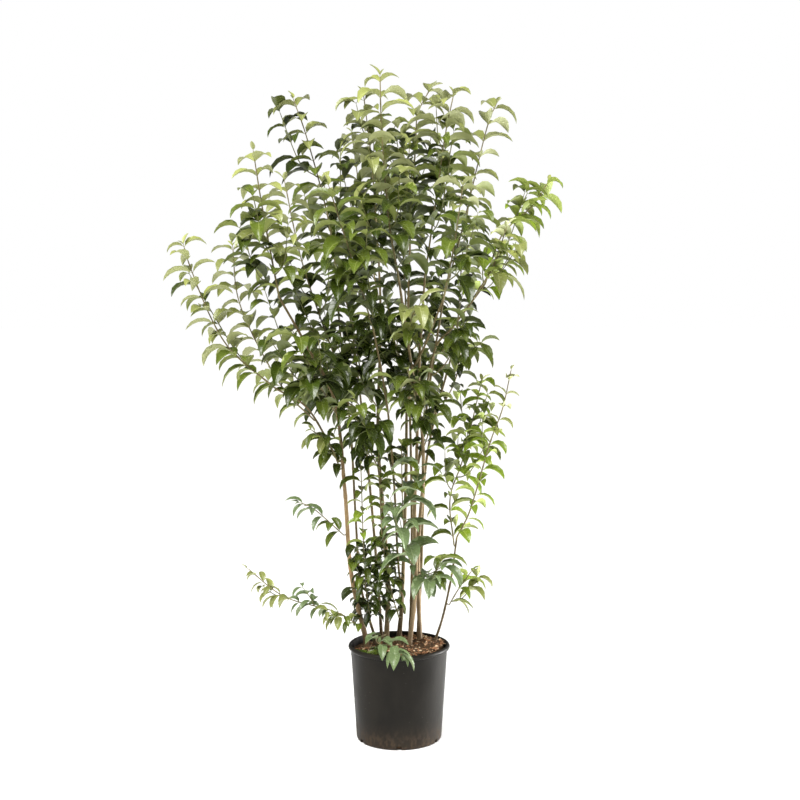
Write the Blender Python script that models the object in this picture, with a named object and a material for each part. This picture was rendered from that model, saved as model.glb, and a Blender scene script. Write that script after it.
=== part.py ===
"""Japanese privet in a nursery pot, as one closed solid for each pot part, cane, bough and mass of foliage.

Metres, +Z up. The origin is on the pot's underside at its axis, -Y is the plant's front and +X its right.
Canes rise from the potting mix, boughs leave the canes, and every mass of foliage grows by one seeded rule
from one twig that continues a limb's tip or springs from a limb's side.
"""

import math
import random

import bmesh
import bpy
import numpy as np
from mathutils import Matrix, Vector

# ---------------------------------------------------------------- driving dimensions

GAP = 0.0003  # between solids that touch
MERGE = 0.00001

POT_HEIGHT = 0.255
RIM_RADIUS = 0.135
RIM_DEPTH = 0.013
NECK_RADIUS = 0.1285  # outside of the wall, just under the rim
FOOT_RADIUS = 0.1135  # outside of the wall, just above the foot's rounding
FOOT_ROUNDING = 0.007
WALL = 0.003
FLOOR = 0.004
POT_STEPS = 32

DRAIN_HOLES = 6
DRAIN_WIDTH = 0.013
DRAIN_HEIGHT = 0.011
DRAIN_DEPTH = 0.012

SOIL_TOP = 0.241
GROUND = SOIL_TOP + GAP  # where the canes are cut flat

LIMB_SIDES = 6
LIMB_STEP = 0.075
COLLAR = 0.008  # the straight start of a bough or twig
FLARE = 1.55  # a cane's foot against its own girth
FLARE_HEIGHT = 0.035

TWIG_SIDES = 3
TWIG_STEP = 0.12
SPRAY_RADIUS = 0.0015
SPRAY_NECK = 0.006  # how far a spray takes to reach its girth, from a pointed root in its twig
TWIG_TIP = 0.0011
INTERNODE = 0.102
SPRAY_INTERNODE = 0.106
PAIR_TURN = math.radians(90)  # privet leaves stand in crossed pairs
TURN_JITTER = math.radians(20)
LEAF_LENGTH = 0.102
LEAF_WIDTH = 0.045
LEAF_KEEL = 0.0085  # depth of the folded blade, from its edges down to the midrib
LEAF_LIFT = math.radians(42)  # of a leaf's base, from square to its twig towards the twig's tip
LEAF_BEND = math.radians(88)  # how far the blade turns down from base to tip
STEEPEST = math.radians(-82)
CLEARANCE = 0.0012  # kept from the edge of a mass's space and from every limb
SAMPLE_STEP = 0.007

# ---------------------------------------------------------------- the plant's limbs
# A cane or bough: where it starts, the points its centreline passes, and its diameter at both ends. A cane
# starts on the potting mix at (x, y). A bough starts on a limb, at a share of that limb's length.

CANES = {
    "cane_west": ((-0.088, 0.030), [(-0.128, 0.026, 0.440), (-0.143, 0.000, 0.667), (-0.166, -0.050, 0.905),
                                    (-0.229, -0.100, 1.042), (-0.296, -0.150, 1.170)], 0.0132, 0.0056),
    "cane_northwest": ((-0.066, 0.068), [(-0.104, 0.070, 0.397), (-0.117, 0.070, 0.585), (-0.130, 0.080, 0.817),
                                         (-0.156, 0.100, 1.054), (-0.170, 0.110, 1.250)], 0.0072, 0.0050),
    "cane_middle": ((-0.034, 0.038), [(-0.030, 0.050, 0.401), (-0.042, 0.070, 0.585), (-0.057, 0.100, 0.800),
                                      (-0.050, 0.150, 1.100), (-0.055, 0.170, 1.270)], 0.0138, 0.0054),
    "cane_north": ((-0.001, 0.078), [(0.008, 0.090, 0.356), (0.018, 0.100, 0.651), (0.021, 0.120, 0.903),
                                     (0.024, 0.130, 1.120), (0.030, 0.135, 1.330)], 0.0112, 0.0050),
    "cane_east": ((0.056, 0.050), [(0.051, 0.030, 0.500), (0.063, -0.020, 0.692), (0.059, -0.060, 0.834),
                                   (0.034, -0.112, 0.985), (0.000, -0.180, 1.216)], 0.0124, 0.0058),
    "cane_south": ((0.028, 0.004), [(0.044, 0.000, 0.412), (0.041, 0.000, 0.620), (0.046, -0.004, 0.749),
                                    (0.053, -0.010, 1.000), (0.066, -0.030, 1.218)], 0.0120, 0.0054),
    "cane_far_east": ((0.097, 0.030), [(0.118, 0.034, 0.320), (0.140, 0.020, 0.432), (0.152, 0.000, 0.533)],
                      0.0066, 0.0046),
    "cane_slim": ((0.002, 0.022), [(0.008, 0.004, 0.356), (-0.004, -0.020, 0.500), (-0.012, -0.060, 0.680),
                                   (-0.030, -0.120, 0.900), (-0.062, -0.190, 1.090)], 0.0066, 0.0048),
    "cane_north_northwest": ((-0.048, 0.088), [(-0.062, 0.120, 0.450), (-0.090, 0.170, 0.750),
                                               (-0.130, 0.245, 1.080)], 0.0086, 0.0050),
    "cane_far_north": ((0.030, 0.096), [(0.036, 0.130, 0.450), (0.032, 0.190, 0.780), (0.020, 0.275, 1.120)],
                       0.0094, 0.0050),
    "cane_northeast": ((0.052, 0.094), [(0.060, 0.120, 0.420), (0.078, 0.165, 0.740), (0.160, 0.235, 1.060)],
                       0.0090, 0.0050),
}
BOUGHS = {
    "bough_far_west": ("cane_west", 0.52, [(-0.235, -0.040, 0.884), (-0.314, -0.060, 0.938)], 0.0062, 0.0046),
    "bough_southeast": ("cane_east", 0.66, [(0.093, -0.090, 1.046), (0.133, -0.100, 1.095),
                                            (0.212, -0.120, 1.203)], 0.0064, 0.0048),
    "bough_east": ("cane_south", 0.51, [(0.065, 0.022, 0.823), (0.086, 0.050, 0.975), (0.118, 0.075, 1.165)],
                   0.0066, 0.0050),
    "bough_south": ("cane_east", 0.78, [(0.066, -0.165, 1.060), (0.105, -0.235, 1.165)], 0.0062, 0.0046),
}

# ---------------------------------------------------------------- the masses of foliage
# The limb a mass's twig starts on, the share of that limb's length where it does (1 is the limb's tip), the
# points the twig passes, its diameter at the root, how many sprays branch from it, and its leaves' scale.

MASSES = {
    # leaders, which run up from the limbs' tips
    "leader_far_west": ("bough_far_west", 1.0, [(-0.424, -0.090, 1.035), (-0.478, -0.100, 1.125),
                                                (-0.529, -0.100, 1.254), (-0.545, -0.100, 1.310)], 0.0044, 1, 0.90),
    "leader_west_inner": ("bough_far_west", 0.50, [(-0.312, 0.008, 0.946), (-0.419, 0.050, 1.149),
                                                   (-0.440, 0.060, 1.310)], 0.0042, 2, 0.90),
    "leader_west": ("cane_west", 1.0, [(-0.335, -0.190, 1.392), (-0.356, -0.200, 1.535)], 0.0052, 4, 0.95),    "leader_west_middle": ("cane_northwest", 0.72, [(-0.215, 0.070, 1.135), (-0.262, 0.050, 1.290),
                                                    (-0.300, 0.035, 1.480)], 0.0046, 4, 1.0),
    "leader_northwest": ("cane_northwest", 1.0, [(-0.194, 0.120, 1.402), (-0.246, 0.125, 1.596),
                                                 (-0.282, 0.120, 1.700)], 0.0048, 4, 1.0),
    "leader_middle": ("cane_middle", 1.0, [(-0.075, 0.200, 1.540), (-0.097, 0.200, 1.725)], 0.0050, 4, 1.0),
    "leader_back_left": ("cane_middle", 0.90, [(-0.100, 0.260, 1.400), (-0.132, 0.290, 1.630)], 0.0044, 3, 1.0),
    "leader_north": ("cane_north", 1.0, [(0.044, 0.130, 1.576), (0.050, 0.130, 1.660),
                                         (0.085, 0.130, 1.730)], 0.0048, 4, 1.0),
    "leader_front": ("cane_east", 1.0, [(-0.026, -0.212, 1.371), (-0.042, -0.220, 1.580),
                                        (-0.046, -0.222, 1.712)], 0.0054, 5, 1.0),
    "leader_right": ("cane_south", 1.0, [(0.097, -0.050, 1.440), (0.117, -0.050, 1.583),
                                         (0.139, -0.050, 1.690)], 0.0050, 4, 1.0),
    "leader_east": ("bough_east", 1.0, [(0.168, 0.080, 1.354), (0.229, 0.060, 1.611),
                                        (0.256, 0.050, 1.680)], 0.0048, 4, 1.0),
    "leader_far_east": ("bough_southeast", 1.0, [(0.258, -0.118, 1.330), (0.336, -0.100, 1.404),
                                                 (0.380, -0.080, 1.470)], 0.0046, 4, 0.95),
    "leader_southeast": ("bough_southeast", 0.90, [(0.235, -0.165, 1.255), (0.264, -0.200, 1.350)], 0.0042, 3, 0.95),
    "leader_southwest": ("cane_slim", 1.0, [(-0.110, -0.290, 1.260), (-0.165, -0.345, 1.440)], 0.0046, 4, 1.0),
    "leader_south": ("bough_south", 1.0, [(0.130, -0.285, 1.290), (0.150, -0.330, 1.440)], 0.0044, 3, 1.0),
    "leader_back_west": ("cane_north_northwest", 1.0, [(-0.180, 0.320, 1.300), (-0.215, 0.360, 1.500)],
                         0.0048, 4, 1.0),
    "leader_back": ("cane_far_north", 1.0, [(0.012, 0.350, 1.340), (0.030, 0.385, 1.600)], 0.0048, 4, 1.0),
    "leader_back_east": ("cane_northeast", 1.0, [(0.178, 0.300, 1.280), (0.206, 0.330, 1.500)], 0.0048, 4, 1.0),
    "leader_low_east": ("cane_far_east", 1.0, [(0.188, -0.020, 0.620), (0.235, -0.050, 0.795),
                                               (0.268, -0.050, 0.887), (0.290, -0.050, 0.990)], 0.0044, 3, 0.75),
    "leader_low_northeast": ("cane_far_east", 0.94, [(0.136, 0.035, 0.640), (0.172, 0.060, 0.745),
                                                     (0.223, 0.100, 0.950)], 0.0040, 3, 0.80),
    # side growth that fills the crown's lower half
    "crown_west_front": ("cane_west", 0.66, [(-0.215, -0.150, 0.985), (-0.262, -0.235, 1.100)], 0.0040, 3, 1.0),"crown_west_low": ("cane_west", 0.50, [(-0.182, -0.065, 0.800), (-0.225, -0.115, 0.840)], 0.0036, 3, 0.9),
    "crown_inner_left": ("cane_middle", 0.62, [(-0.095, 0.045, 0.950), (-0.125, -0.010, 1.130)], 0.0040, 4, 1.0),
    "crown_back_left": ("cane_north_northwest", 0.74, [(-0.165, 0.225, 0.900), (-0.240, 0.270, 1.010)],
                        0.0040, 3, 1.0),
    "crown_back": ("cane_far_north", 0.74, [(0.045, 0.290, 0.925), (0.060, 0.350, 1.040)], 0.0040, 3, 1.0),
    "crown_back_right": ("cane_northeast", 0.76, [(0.158, 0.205, 0.950), (0.178, 0.230, 1.090)], 0.0040, 3, 1.0),
    "crown_inner_right": ("cane_north", 0.72, [(0.075, 0.165, 1.080), (0.115, 0.190, 1.250)], 0.0040, 3, 1.0),
    "crown_east": ("bough_east", 0.55, [(0.130, 0.035, 1.010), (0.160, 0.020, 1.095)], 0.0040, 3, 1.0),
    "crown_southeast": ("bough_southeast", 0.42, [(0.140, -0.155, 1.065), (0.145, -0.210, 1.135)], 0.0038, 3, 1.0),
    "crown_front_young": ("cane_east", 0.84, [(0.030, -0.240, 1.125), (0.052, -0.300, 1.165)], 0.0038, 3, 1.0),
    "crown_front_low": ("cane_slim", 0.70, [(-0.060, -0.160, 0.850), (-0.110, -0.230, 0.930)], 0.0038, 4, 1.0),
    "crown_middle": ("cane_south", 0.72, [(0.000, -0.055, 1.020), (-0.030, -0.080, 1.160)], 0.0040, 4, 1.0),
    "crown_front_middle": ("cane_east", 0.60, [(0.045, -0.130, 0.905), (0.020, -0.215, 1.000)],
                           0.0040, 4, 1.0),
    "crown_front_right": ("cane_south", 0.52, [(0.085, -0.055, 0.850), (0.100, -0.115, 0.945)],
                          0.0038, 3, 1.0),
    "crown_low_left": ("cane_middle", 0.46, [(-0.085, 0.010, 0.790), (-0.115, -0.070, 0.880)],
                       0.0036, 3, 0.95),
    # short growth low on the canes
    "spray_low_west": ("cane_west", 0.060, [(-0.165, -0.052, 0.352), (-0.297, -0.080, 0.399),
                                            (-0.394, -0.090, 0.478)], 0.0036, 2, 0.50),
    "spray_mid_west": ("cane_west", 0.315, [(-0.224, -0.030, 0.622), (-0.262, -0.040, 0.640)], 0.0030, 0, 0.85),
    "spray_waist_front": ("cane_south", 0.22, [(0.022, -0.050, 0.510), (0.010, -0.085, 0.620),                                               (0.006, -0.098, 0.800)], 0.0034, 3, 0.80),
    "spray_waist_right": ("cane_east", 0.20, [(0.085, -0.035, 0.440), (0.112, -0.070, 0.500)], 0.0034, 2, 0.80),
    "spray_low_right": ("cane_far_east", 0.40, [(0.160, 0.015, 0.400), (0.195, -0.005, 0.455)], 0.0032, 2, 0.80),
"spray_foot_left": ("cane_northwest", 0.06, [(-0.084, 0.022, 0.360), (-0.092, -0.008, 0.470),                                                 (-0.100, -0.024, 0.740)], 0.0034, 5, 0.52),
    "spray_foot_middle": ("cane_slim", 0.10, [(-0.022, -0.030, 0.410), (-0.045, -0.045, 0.560),                                              (-0.053, -0.060, 0.780)], 0.0034, 5, 0.58),    "spray_rim": ("cane_middle", 0.030, [(-0.060, -0.030, 0.274), (-0.050, -0.088, 0.276),
                                         (-0.012, -0.126, 0.281), (0.006, -0.150, 0.262)], 0.0034, 1, 0.75),
}
SEED = 11

# ---------------------------------------------------------------- the scene and its materials


def clear_scene():
    for item in list(bpy.data.objects):
        bpy.data.objects.remove(item)


def material(name, colour, roughness):
    made = bpy.data.materials.new(name)
    made.use_nodes = True
    shader = made.node_tree.nodes["Principled BSDF"]
    shader.inputs["Base Color"].default_value = (*colour, 1.0)
    shader.inputs["Roughness"].default_value = roughness
    shader.inputs["Metallic"].default_value = 0.0
    return made


def add_object(name, mesh, finish=None):
    item = bpy.data.objects.new(name, mesh)
    bpy.context.scene.collection.objects.link(item)
    if finish:
        mesh.materials.clear()
        mesh.materials.append(finish)
    return item


# ---------------------------------------------------------------- curves and tubes


def smooth_path(points, step):
    """Points about a step apart on a Catmull-Rom curve through the given points."""
    ends = [2 * points[0] - points[1], *points, 2 * points[-1] - points[-2]]
    path = []
    for before, start, end, after in zip(ends, ends[1:], ends[2:], ends[3:]):
        count = max(1, round((end - start).length / step))
        for i in range(count):
            t = i / count
            path.append(0.5 * (2 * start + (end - before) * t
                               + (2 * before - 5 * start + 4 * end - after) * t ** 2
                               + (3 * (start - end) + after - before) * t ** 3))
    path.append(points[-1].copy())
    return path


def lengths_along(path):
    total = [0.0]
    for start, end in zip(path, path[1:]):
        total.append(total[-1] + (end - start).length)
    return total


def point_at(path, distance):
    """The point and the direction at a distance along a path."""
    reached = lengths_along(path)
    distance = min(max(distance, 0.0), reached[-1])
    for i, (start, end) in enumerate(zip(path, path[1:])):
        if distance <= reached[i + 1]:
            share = (distance - reached[i]) / max(reached[i + 1] - reached[i], 1e-9)
            return start.lerp(end, share), (end - start).normalized()
    return path[-1].copy(), (path[-1] - path[-2]).normalized()


def resampled(path, step):
    length = lengths_along(path)[-1]
    count = max(2, round(length / step))
    return [point_at(path, length * i / count)[0] for i in range(count + 1)]


def tube(name, path, radii, sides):
    """A closed tube round a path: a ring of corners at each point, or a point where the radius is 0."""
    bm = bmesh.new()
    side = None
    rings = []
    for i, point in enumerate(path):
        ahead = (path[min(i + 1, len(path) - 1)] - path[max(i - 1, 0)]).normalized()
        if side is None:
            side = ahead.orthogonal()
        side = (side - side.dot(ahead) * ahead).normalized()
        turn = ahead.cross(side)
        rings.append([bm.verts.new(point + radii[i] * (side * math.cos(a) + turn * math.sin(a)))
                      for a in (2 * math.pi * k / sides for k in range(sides))])
    for low, high in zip(rings, rings[1:]):
        for k in range(sides):
            bm.faces.new((low[k], low[(k + 1) % sides], high[(k + 1) % sides], high[k]))
    bm.faces.new(list(reversed(rings[0])))
    bm.faces.new(rings[-1])
    bmesh.ops.remove_doubles(bm, verts=bm.verts, dist=MERGE)
    bmesh.ops.triangulate(bm, faces=bm.faces)
    mesh = bpy.data.meshes.new(name)
    bm.to_mesh(mesh)
    bm.free()
    return mesh


# ---------------------------------------------------------------- pot and potting mix


def turned(name, profile, finish):
    """A turned solid. The profile starts and ends on the axis and runs down its outer side."""
    mesh = bpy.data.meshes.new(name)
    mesh.from_pydata([(r, 0.0, z) for r, z in profile], [(i, i + 1) for i in range(len(profile) - 1)], [])
    item = add_object(name, mesh, finish)
    screw = item.modifiers.new("Turn", "SCREW")
    screw.steps = screw.render_steps = POT_STEPS
    screw.use_merge_vertices = True
    screw.merge_threshold = MERGE
    return item


def outer_radius(z):
    """The pot wall's outside at a height, between the foot and the rim."""
    share = (z - FOOT_ROUNDING) / (POT_HEIGHT - RIM_DEPTH - FOOT_ROUNDING)
    return FOOT_RADIUS + (NECK_RADIUS - FOOT_RADIUS) * share


def arc(centre_r, centre_z, radius, start, end, steps):
    angles = [math.radians(start + (end - start) * i / steps) for i in range(steps + 1)]
    return [(centre_r + radius * math.cos(a), centre_z + radius * math.sin(a)) for a in angles]


def make_pot(finish):
    """The wall, its rolled rim and rounded foot, cut by the drain holes at the foot."""
    under_rim = POT_HEIGHT - RIM_DEPTH
    roll = RIM_DEPTH / 2
    profile = [(0.0, FLOOR), (outer_radius(FLOOR) - WALL, FLOOR), (outer_radius(under_rim) - WALL, under_rim)]
    profile += [(NECK_RADIUS - WALL, POT_HEIGHT - 0.002), (NECK_RADIUS - WALL + 0.002, POT_HEIGHT)]
    profile += arc(RIM_RADIUS - roll, POT_HEIGHT - roll, roll, 90, -90, 4)
    profile += [(NECK_RADIUS, under_rim - 0.001)]
    profile += arc(FOOT_RADIUS - FOOT_ROUNDING, FOOT_ROUNDING, FOOT_ROUNDING, 0, -90, 2)
    profile += [(0.0, 0.0)]
    pot = turned("pot", profile, finish)
    bm = bmesh.new()
    for i in range(DRAIN_HOLES):
        angle = 2 * math.pi * i / DRAIN_HOLES - math.pi / 2
        place = Matrix.Rotation(angle, 4, "Z") @ Matrix.Translation((FOOT_RADIUS - DRAIN_DEPTH / 4, 0, 0))
        size = Matrix.Diagonal((DRAIN_DEPTH, DRAIN_WIDTH, 2 * DRAIN_HEIGHT, 1))
        bmesh.ops.create_cube(bm, size=1.0, matrix=place @ size)
    mesh = bpy.data.meshes.new("drain_cutter")
    bm.to_mesh(mesh)
    bm.free()
    cutter = add_object("drain_cutter", mesh)
    cutter.hide_render = True
    cutter.display_type = "WIRE"
    cut = pot.modifiers.new("Drain", "BOOLEAN")
    cut.operation = "DIFFERENCE"
    cut.object = cutter


def make_potting_mix(finish):
    """The mix fills the pot to its own level, a gap clear of the wall."""
    inside = WALL + GAP
    profile = [(0.0, SOIL_TOP), (outer_radius(SOIL_TOP) - inside, SOIL_TOP),
               (outer_radius(FLOOR) - inside, FLOOR + GAP), (0.0, FLOOR + GAP)]
    turned("potting_mix", profile, finish)


# ---------------------------------------------------------------- canes and boughs


def limb_radii(path, thick, thin, flared):
    reached = lengths_along(path)
    radii = []
    for distance in reached:
        share = distance / reached[-1]
        radius = (thick + (thin - thick) * share) / 2
        if flared:
            radius *= 1 + (FLARE - 1) * math.exp(-distance / FLARE_HEIGHT * 2)
        radii.append(radius)
    return radii


def grow_limbs():
    """The centreline and radii of every cane, then of every bough, which starts a gap clear of its cane."""
    limbs = {}
    for name, (foot, route, thick, thin) in CANES.items():
        base = Vector((*foot, GROUND))
        points = [base, base + Vector((0, 0, 0.012)), *map(Vector, route)]
        path = [base, *resampled(smooth_path(points, LIMB_STEP / 3)[1:], LIMB_STEP)]
        path.insert(2, path[1].lerp(path[2], 0.4))
        limbs[name] = (path, limb_radii(path, thick, thin, True))
    for name, (parent, share, route, thick, thin) in BOUGHS.items():
        path = branch_path(limbs[parent], share, [Vector(p) for p in route], LIMB_STEP)
        limbs[name] = (path, limb_radii(path, thick, thin, False))
    return limbs


def branch_path(limb, share, route, step):
    """A twig or bough's centreline, from a gap clear of its limb's tip or side through its route.

    Its first stretch is square to the face it meets, so its flat root lies along that face.
    """
    path, radii = limb
    reached = lengths_along(path)
    start, ahead = point_at(path, share * reached[-1])
    out = ahead
    offset = GAP
    if share < 1.0:
        out = route[0] - start
        out = (out - out.dot(ahead) * ahead).normalized()
        offset += np.interp(share * reached[-1], reached, radii)
    root = start + out * offset
    collar = root + out * COLLAR
    return [root, *resampled(smooth_path([collar, *route], step / 3), step)]


# ---------------------------------------------------------------- the space of each mass


class Space:
    """Each mass owns the points that are nearer to its twig than to any other mass's, clear of the limbs."""

    def __init__(self, twigs, limbs):
        self.names = list(twigs)
        dense = [resampled(path, SAMPLE_STEP) for path in twigs.values()]
        self.owner = np.concatenate([np.full(len(d), i) for i, d in enumerate(dense)])
        self.points = np.array([p for d in dense for p in d])
        wood, girth = [], []
        for path, radii in limbs.values():
            reached = lengths_along(path)
            fine = resampled(path, SAMPLE_STEP)
            wood += fine
            girth += list(np.interp(np.linspace(0, reached[-1], len(fine)), reached, radii))
        self.wood = np.array(wood)
        self.girth = np.array(girth)

    def allows(self, name, points, radius=0.0):
        """True if balls of that radius round the points stay in the mass's own space."""
        places = np.array(points)
        margin = radius + CLEARANCE
        away = np.linalg.norm(places[:, None] - self.points[None], axis=2)
        mine = self.owner == self.names.index(name)
        if (away[:, mine].min(axis=1) + 2 * margin > away[:, ~mine].min(axis=1)).any():
            return False
        wood = np.linalg.norm(places[:, None] - self.wood[None], axis=2)
        if (wood - self.girth < margin + SAMPLE_STEP / 8).any():
            return False
        inside = np.hypot(places[:, 0], places[:, 1]) < RIM_RADIUS + margin
        return not (inside & (places[:, 2] < POT_HEIGHT + margin)).any() and places[:, 2].min() > margin


# ---------------------------------------------------------------- leaves


class Leaf:
    """One arched leaf: its root on a twig's axis, its bend where it is widest, and its hanging tip."""

    FACES = [(0, 2, 1), (0, 1, 3), (0, 3, 2), (4, 1, 2), (4, 3, 1), (4, 2, 3)]

    def __init__(self, root, out, scale, roll, bend):
        length = LEAF_LENGTH * scale
        rise = math.asin(max(-1.0, min(1.0, out.z)))
        heading = Vector((out.x, out.y, 0)).normalized()
        drop = max(STEEPEST, rise - bend)
        first, second = (self.direction(heading, rise + (drop - rise) * share) for share in (0.28, 0.8))
        self.root = root
        self.knee = root + first * length * 0.48
        self.tip = self.knee + second * length * 0.52
        self.half = LEAF_WIDTH * scale / 2
        self.keel = LEAF_KEEL * scale
        self.side = Matrix.Rotation(roll, 3, first) @ heading.cross(Vector((0, 0, 1))).normalized()
        self.up = self.side.cross(first)

    @staticmethod
    def direction(heading, rise):
        return heading * math.cos(rise) + Vector((0, 0, math.sin(rise)))

    def corners(self):
        """The root, the two edges and the keel where the blade is widest, and the tip."""
        return [self.root, self.knee + self.side * self.half, self.knee - self.side * self.half,
                self.knee - self.up * self.keel, self.tip]

    def samples(self):
        """Points across the blade and along its keel, outside the stretch that is sunk in the twig."""
        found = []
        count = max(4, round((self.tip - self.root).length / SAMPLE_STEP))
        for i in range(1, count + 1):
            t = i / count
            if t < 0.5:
                centre, half = self.root.lerp(self.knee, 2 * t), self.half * 2 * t
            else:
                centre, half = self.knee.lerp(self.tip, 2 * t - 1), self.half * (2 - 2 * t)
            found += [centre + self.side * half * k / 3 for k in range(-3, 4)]
            found.append(centre - self.up * self.keel * min(2 * t, 2 - 2 * t))
        return found

    def mesh(self, name):
        made = bpy.data.meshes.new(name)
        made.from_pydata(self.corners(), [], self.FACES)
        bm = bmesh.new()
        bm.from_mesh(made)
        bmesh.ops.recalc_face_normals(bm, faces=bm.faces)
        bm.to_mesh(made)
        bm.free()
        return made


# ---------------------------------------------------------------- the growing rule


def leaf_pairs(space, mass, path, first, last, internode, scale, dice):
    """Crossed pairs of leaves along a twig, leaving out each leaf that its mass has no room for."""
    leaves = []
    turn = dice.uniform(0, math.pi)
    count = max(1, round((last - first) / internode))
    for i in range(count + 1):
        point, ahead = point_at(path, first + (last - first) * i / count)
        side = ahead.cross(Vector((0, 1, 0.02))).normalized()
        turn += PAIR_TURN + dice.uniform(-TURN_JITTER, TURN_JITTER)
        size = scale * (1.0 - 0.18 * i / count)
        for half_turn in (0.0, math.pi):
            square = Matrix.Rotation(turn + half_turn, 3, ahead) @ side
            out = (square * math.cos(LEAF_LIFT) + ahead * math.sin(LEAF_LIFT)).normalized()
            roll = dice.uniform(-0.55, 0.55)
            bend = LEAF_BEND * dice.uniform(0.8, 1.15)
            grown = size * dice.uniform(0.88, 1.12)
            for smaller in (1.0, 0.75):
                leaf = Leaf(point, out, grown * smaller, roll, bend)
                if space.allows(mass, leaf.samples()):
                    leaves.append(leaf)
                    break
    return leaves


def spray_path(path, distance, ahead_turn, length):
    """A short side twig that leaves its twig at a slant, turned up towards the light."""
    start, ahead = point_at(path, distance)
    side = ahead.cross(Vector((0, 1, 0.02))).normalized()
    out = (Matrix.Rotation(ahead_turn, 3, ahead) @ side + 0.9 * ahead).normalized()
    out = (out + Vector((0, 0, 0.45))).normalized()
    return [start, start + out * SPRAY_NECK, start + out * length]


def grow_mass(space, name, path, dice):
    """The twigs, as (path, radii), and the leaves of one mass."""
    _, _, _, thick, sprays, scale = MASSES[name]
    length = lengths_along(path)[-1]
    shares = [distance / length for distance in lengths_along(path)]
    twigs = [(path, [thick / 2 + (TWIG_TIP - thick / 2) * share for share in shares])]
    leaves = leaf_pairs(space, name, path, min(0.04, length * 0.2), length - 0.004, INTERNODE * scale ** 0.5,
                        scale, dice)
    turn = dice.uniform(0, 2 * math.pi)
    for i in range(sprays):
        turn += math.radians(137.5)
        distance = length * (0.10 + 0.62 * (i + dice.uniform(0.2, 0.8)) / max(sprays, 1))
        reach = (0.17 - 0.07 * i / max(sprays, 1)) * scale * dice.uniform(0.85, 1.15)
        for shorter in (1.0, 0.7):
            spray = spray_path(path, distance, turn, reach * shorter)
            if space.allows(name, resampled(spray, SAMPLE_STEP)[1:], SPRAY_RADIUS):
                twigs.append((spray, [0.0, SPRAY_RADIUS, TWIG_TIP]))
                leaves += leaf_pairs(space, name, spray, reach * shorter * 0.35, reach * shorter - 0.003,
                                     SPRAY_INTERNODE * scale ** 0.5, scale * 0.92, dice)
                break
    return twigs, leaves


def fused(name, meshes, finish):
    """One body from overlapping closed meshes, without scraps or sealed hollows."""
    body = add_object(name, meshes[0], finish)
    pieces = bpy.data.collections.new(name + "_pieces")
    bpy.context.scene.collection.children.link(pieces)
    for i, mesh in enumerate(meshes[1:]):
        pieces.objects.link(bpy.data.objects.new(f"{name}_piece_{i}", mesh))
    union = body.modifiers.new("Fuse", "BOOLEAN")
    union.operation = "UNION"
    union.operand_type = "COLLECTION"
    union.collection = pieces
    union.solver = "EXACT"
    bpy.context.view_layer.update()
    graph = bpy.context.evaluated_depsgraph_get()
    mesh = bpy.data.meshes.new_from_object(body.evaluated_get(graph))
    body.modifiers.clear()
    body.data = mesh
    mesh.materials.clear()
    mesh.materials.append(finish)
    for piece in list(pieces.objects):
        bpy.data.objects.remove(piece)
    bpy.data.collections.remove(pieces)
    keep_largest_shell(mesh)
    return body


def keep_largest_shell(mesh):
    bm = bmesh.new()
    bm.from_mesh(mesh)
    bm.verts.ensure_lookup_table()
    unseen = set(bm.verts)
    shells = []
    while unseen:
        front = [unseen.pop()]
        shell = set(front)
        while front:
            for edge in front.pop().link_edges:
                for vertex in edge.verts:
                    if vertex in unseen:
                        unseen.discard(vertex)
                        shell.add(vertex)
                        front.append(vertex)
        shells.append(shell)
    largest = max(shells, key=len)
    bmesh.ops.delete(bm, geom=[v for v in bm.verts if v not in largest], context="VERTS")
    bm.to_mesh(mesh)
    bm.free()


# ---------------------------------------------------------------- the whole plant


def make_limbs(limbs, finish):
    for name, (path, radii) in limbs.items():
        item = add_object(name, tube(name, path, radii, LIMB_SIDES), finish)
        item.data.shade_smooth()
        item.data.set_sharp_from_angle(angle=math.radians(50))


def make_masses(limbs, finish):
    paths = {}
    for name, (limb, share, route, _, _, _) in MASSES.items():
        paths[name] = branch_path(limbs[limb], share, [Vector(p) for p in route], TWIG_STEP)
    space = Space(paths, limbs)
    total = 0
    for i, (name, path) in enumerate(paths.items()):
        dice = random.Random(SEED * 1000 + i)
        twigs, leaves = grow_mass(space, name, path, dice)
        meshes = [tube(f"{name}_twig_{k}", *twig, TWIG_SIDES) for k, twig in enumerate(twigs)]
        meshes += [leaf.mesh(f"{name}_leaf_{k}") for k, leaf in enumerate(leaves)]
        fused(name, meshes, finish)
        total += len(leaves)
        print(name, len(twigs), "twigs", len(leaves), "leaves")
    print(total, "leaves in", len(paths), "masses")


def build():
    clear_scene()
    make_pot(material("black_plastic", (0.035, 0.034, 0.032), 0.55))
    make_potting_mix(material("bark_mulch", (0.20, 0.10, 0.05), 0.95))
    limbs = grow_limbs()
    make_limbs(limbs, material("privet_bark", (0.36, 0.24, 0.13), 0.8))
    make_masses(limbs, material("privet_leaf", (0.11, 0.21, 0.03), 0.4))


build()
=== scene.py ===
# %% [markdown]
# # A Japanese privet in its nursery pot
# This lesson dresses a tall evergreen shrub. Eleven slender canes stand in bark mulch in a round black pot,
# and their leaders carry crossed pairs of glossy, arched leaves. The solids of pot, canes and foliage come
# in as a fixed frame. Around them we model the pot by hand, give the canes their bark, and grow every mass
# of foliage again by the same rule, with leaves of true size on finer twigs.

# %% Load the frame
import math
import random
from collections import namedtuple

import bpy
import numpy as np
from mathutils import Matrix, Vector, kdtree, noise


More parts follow.
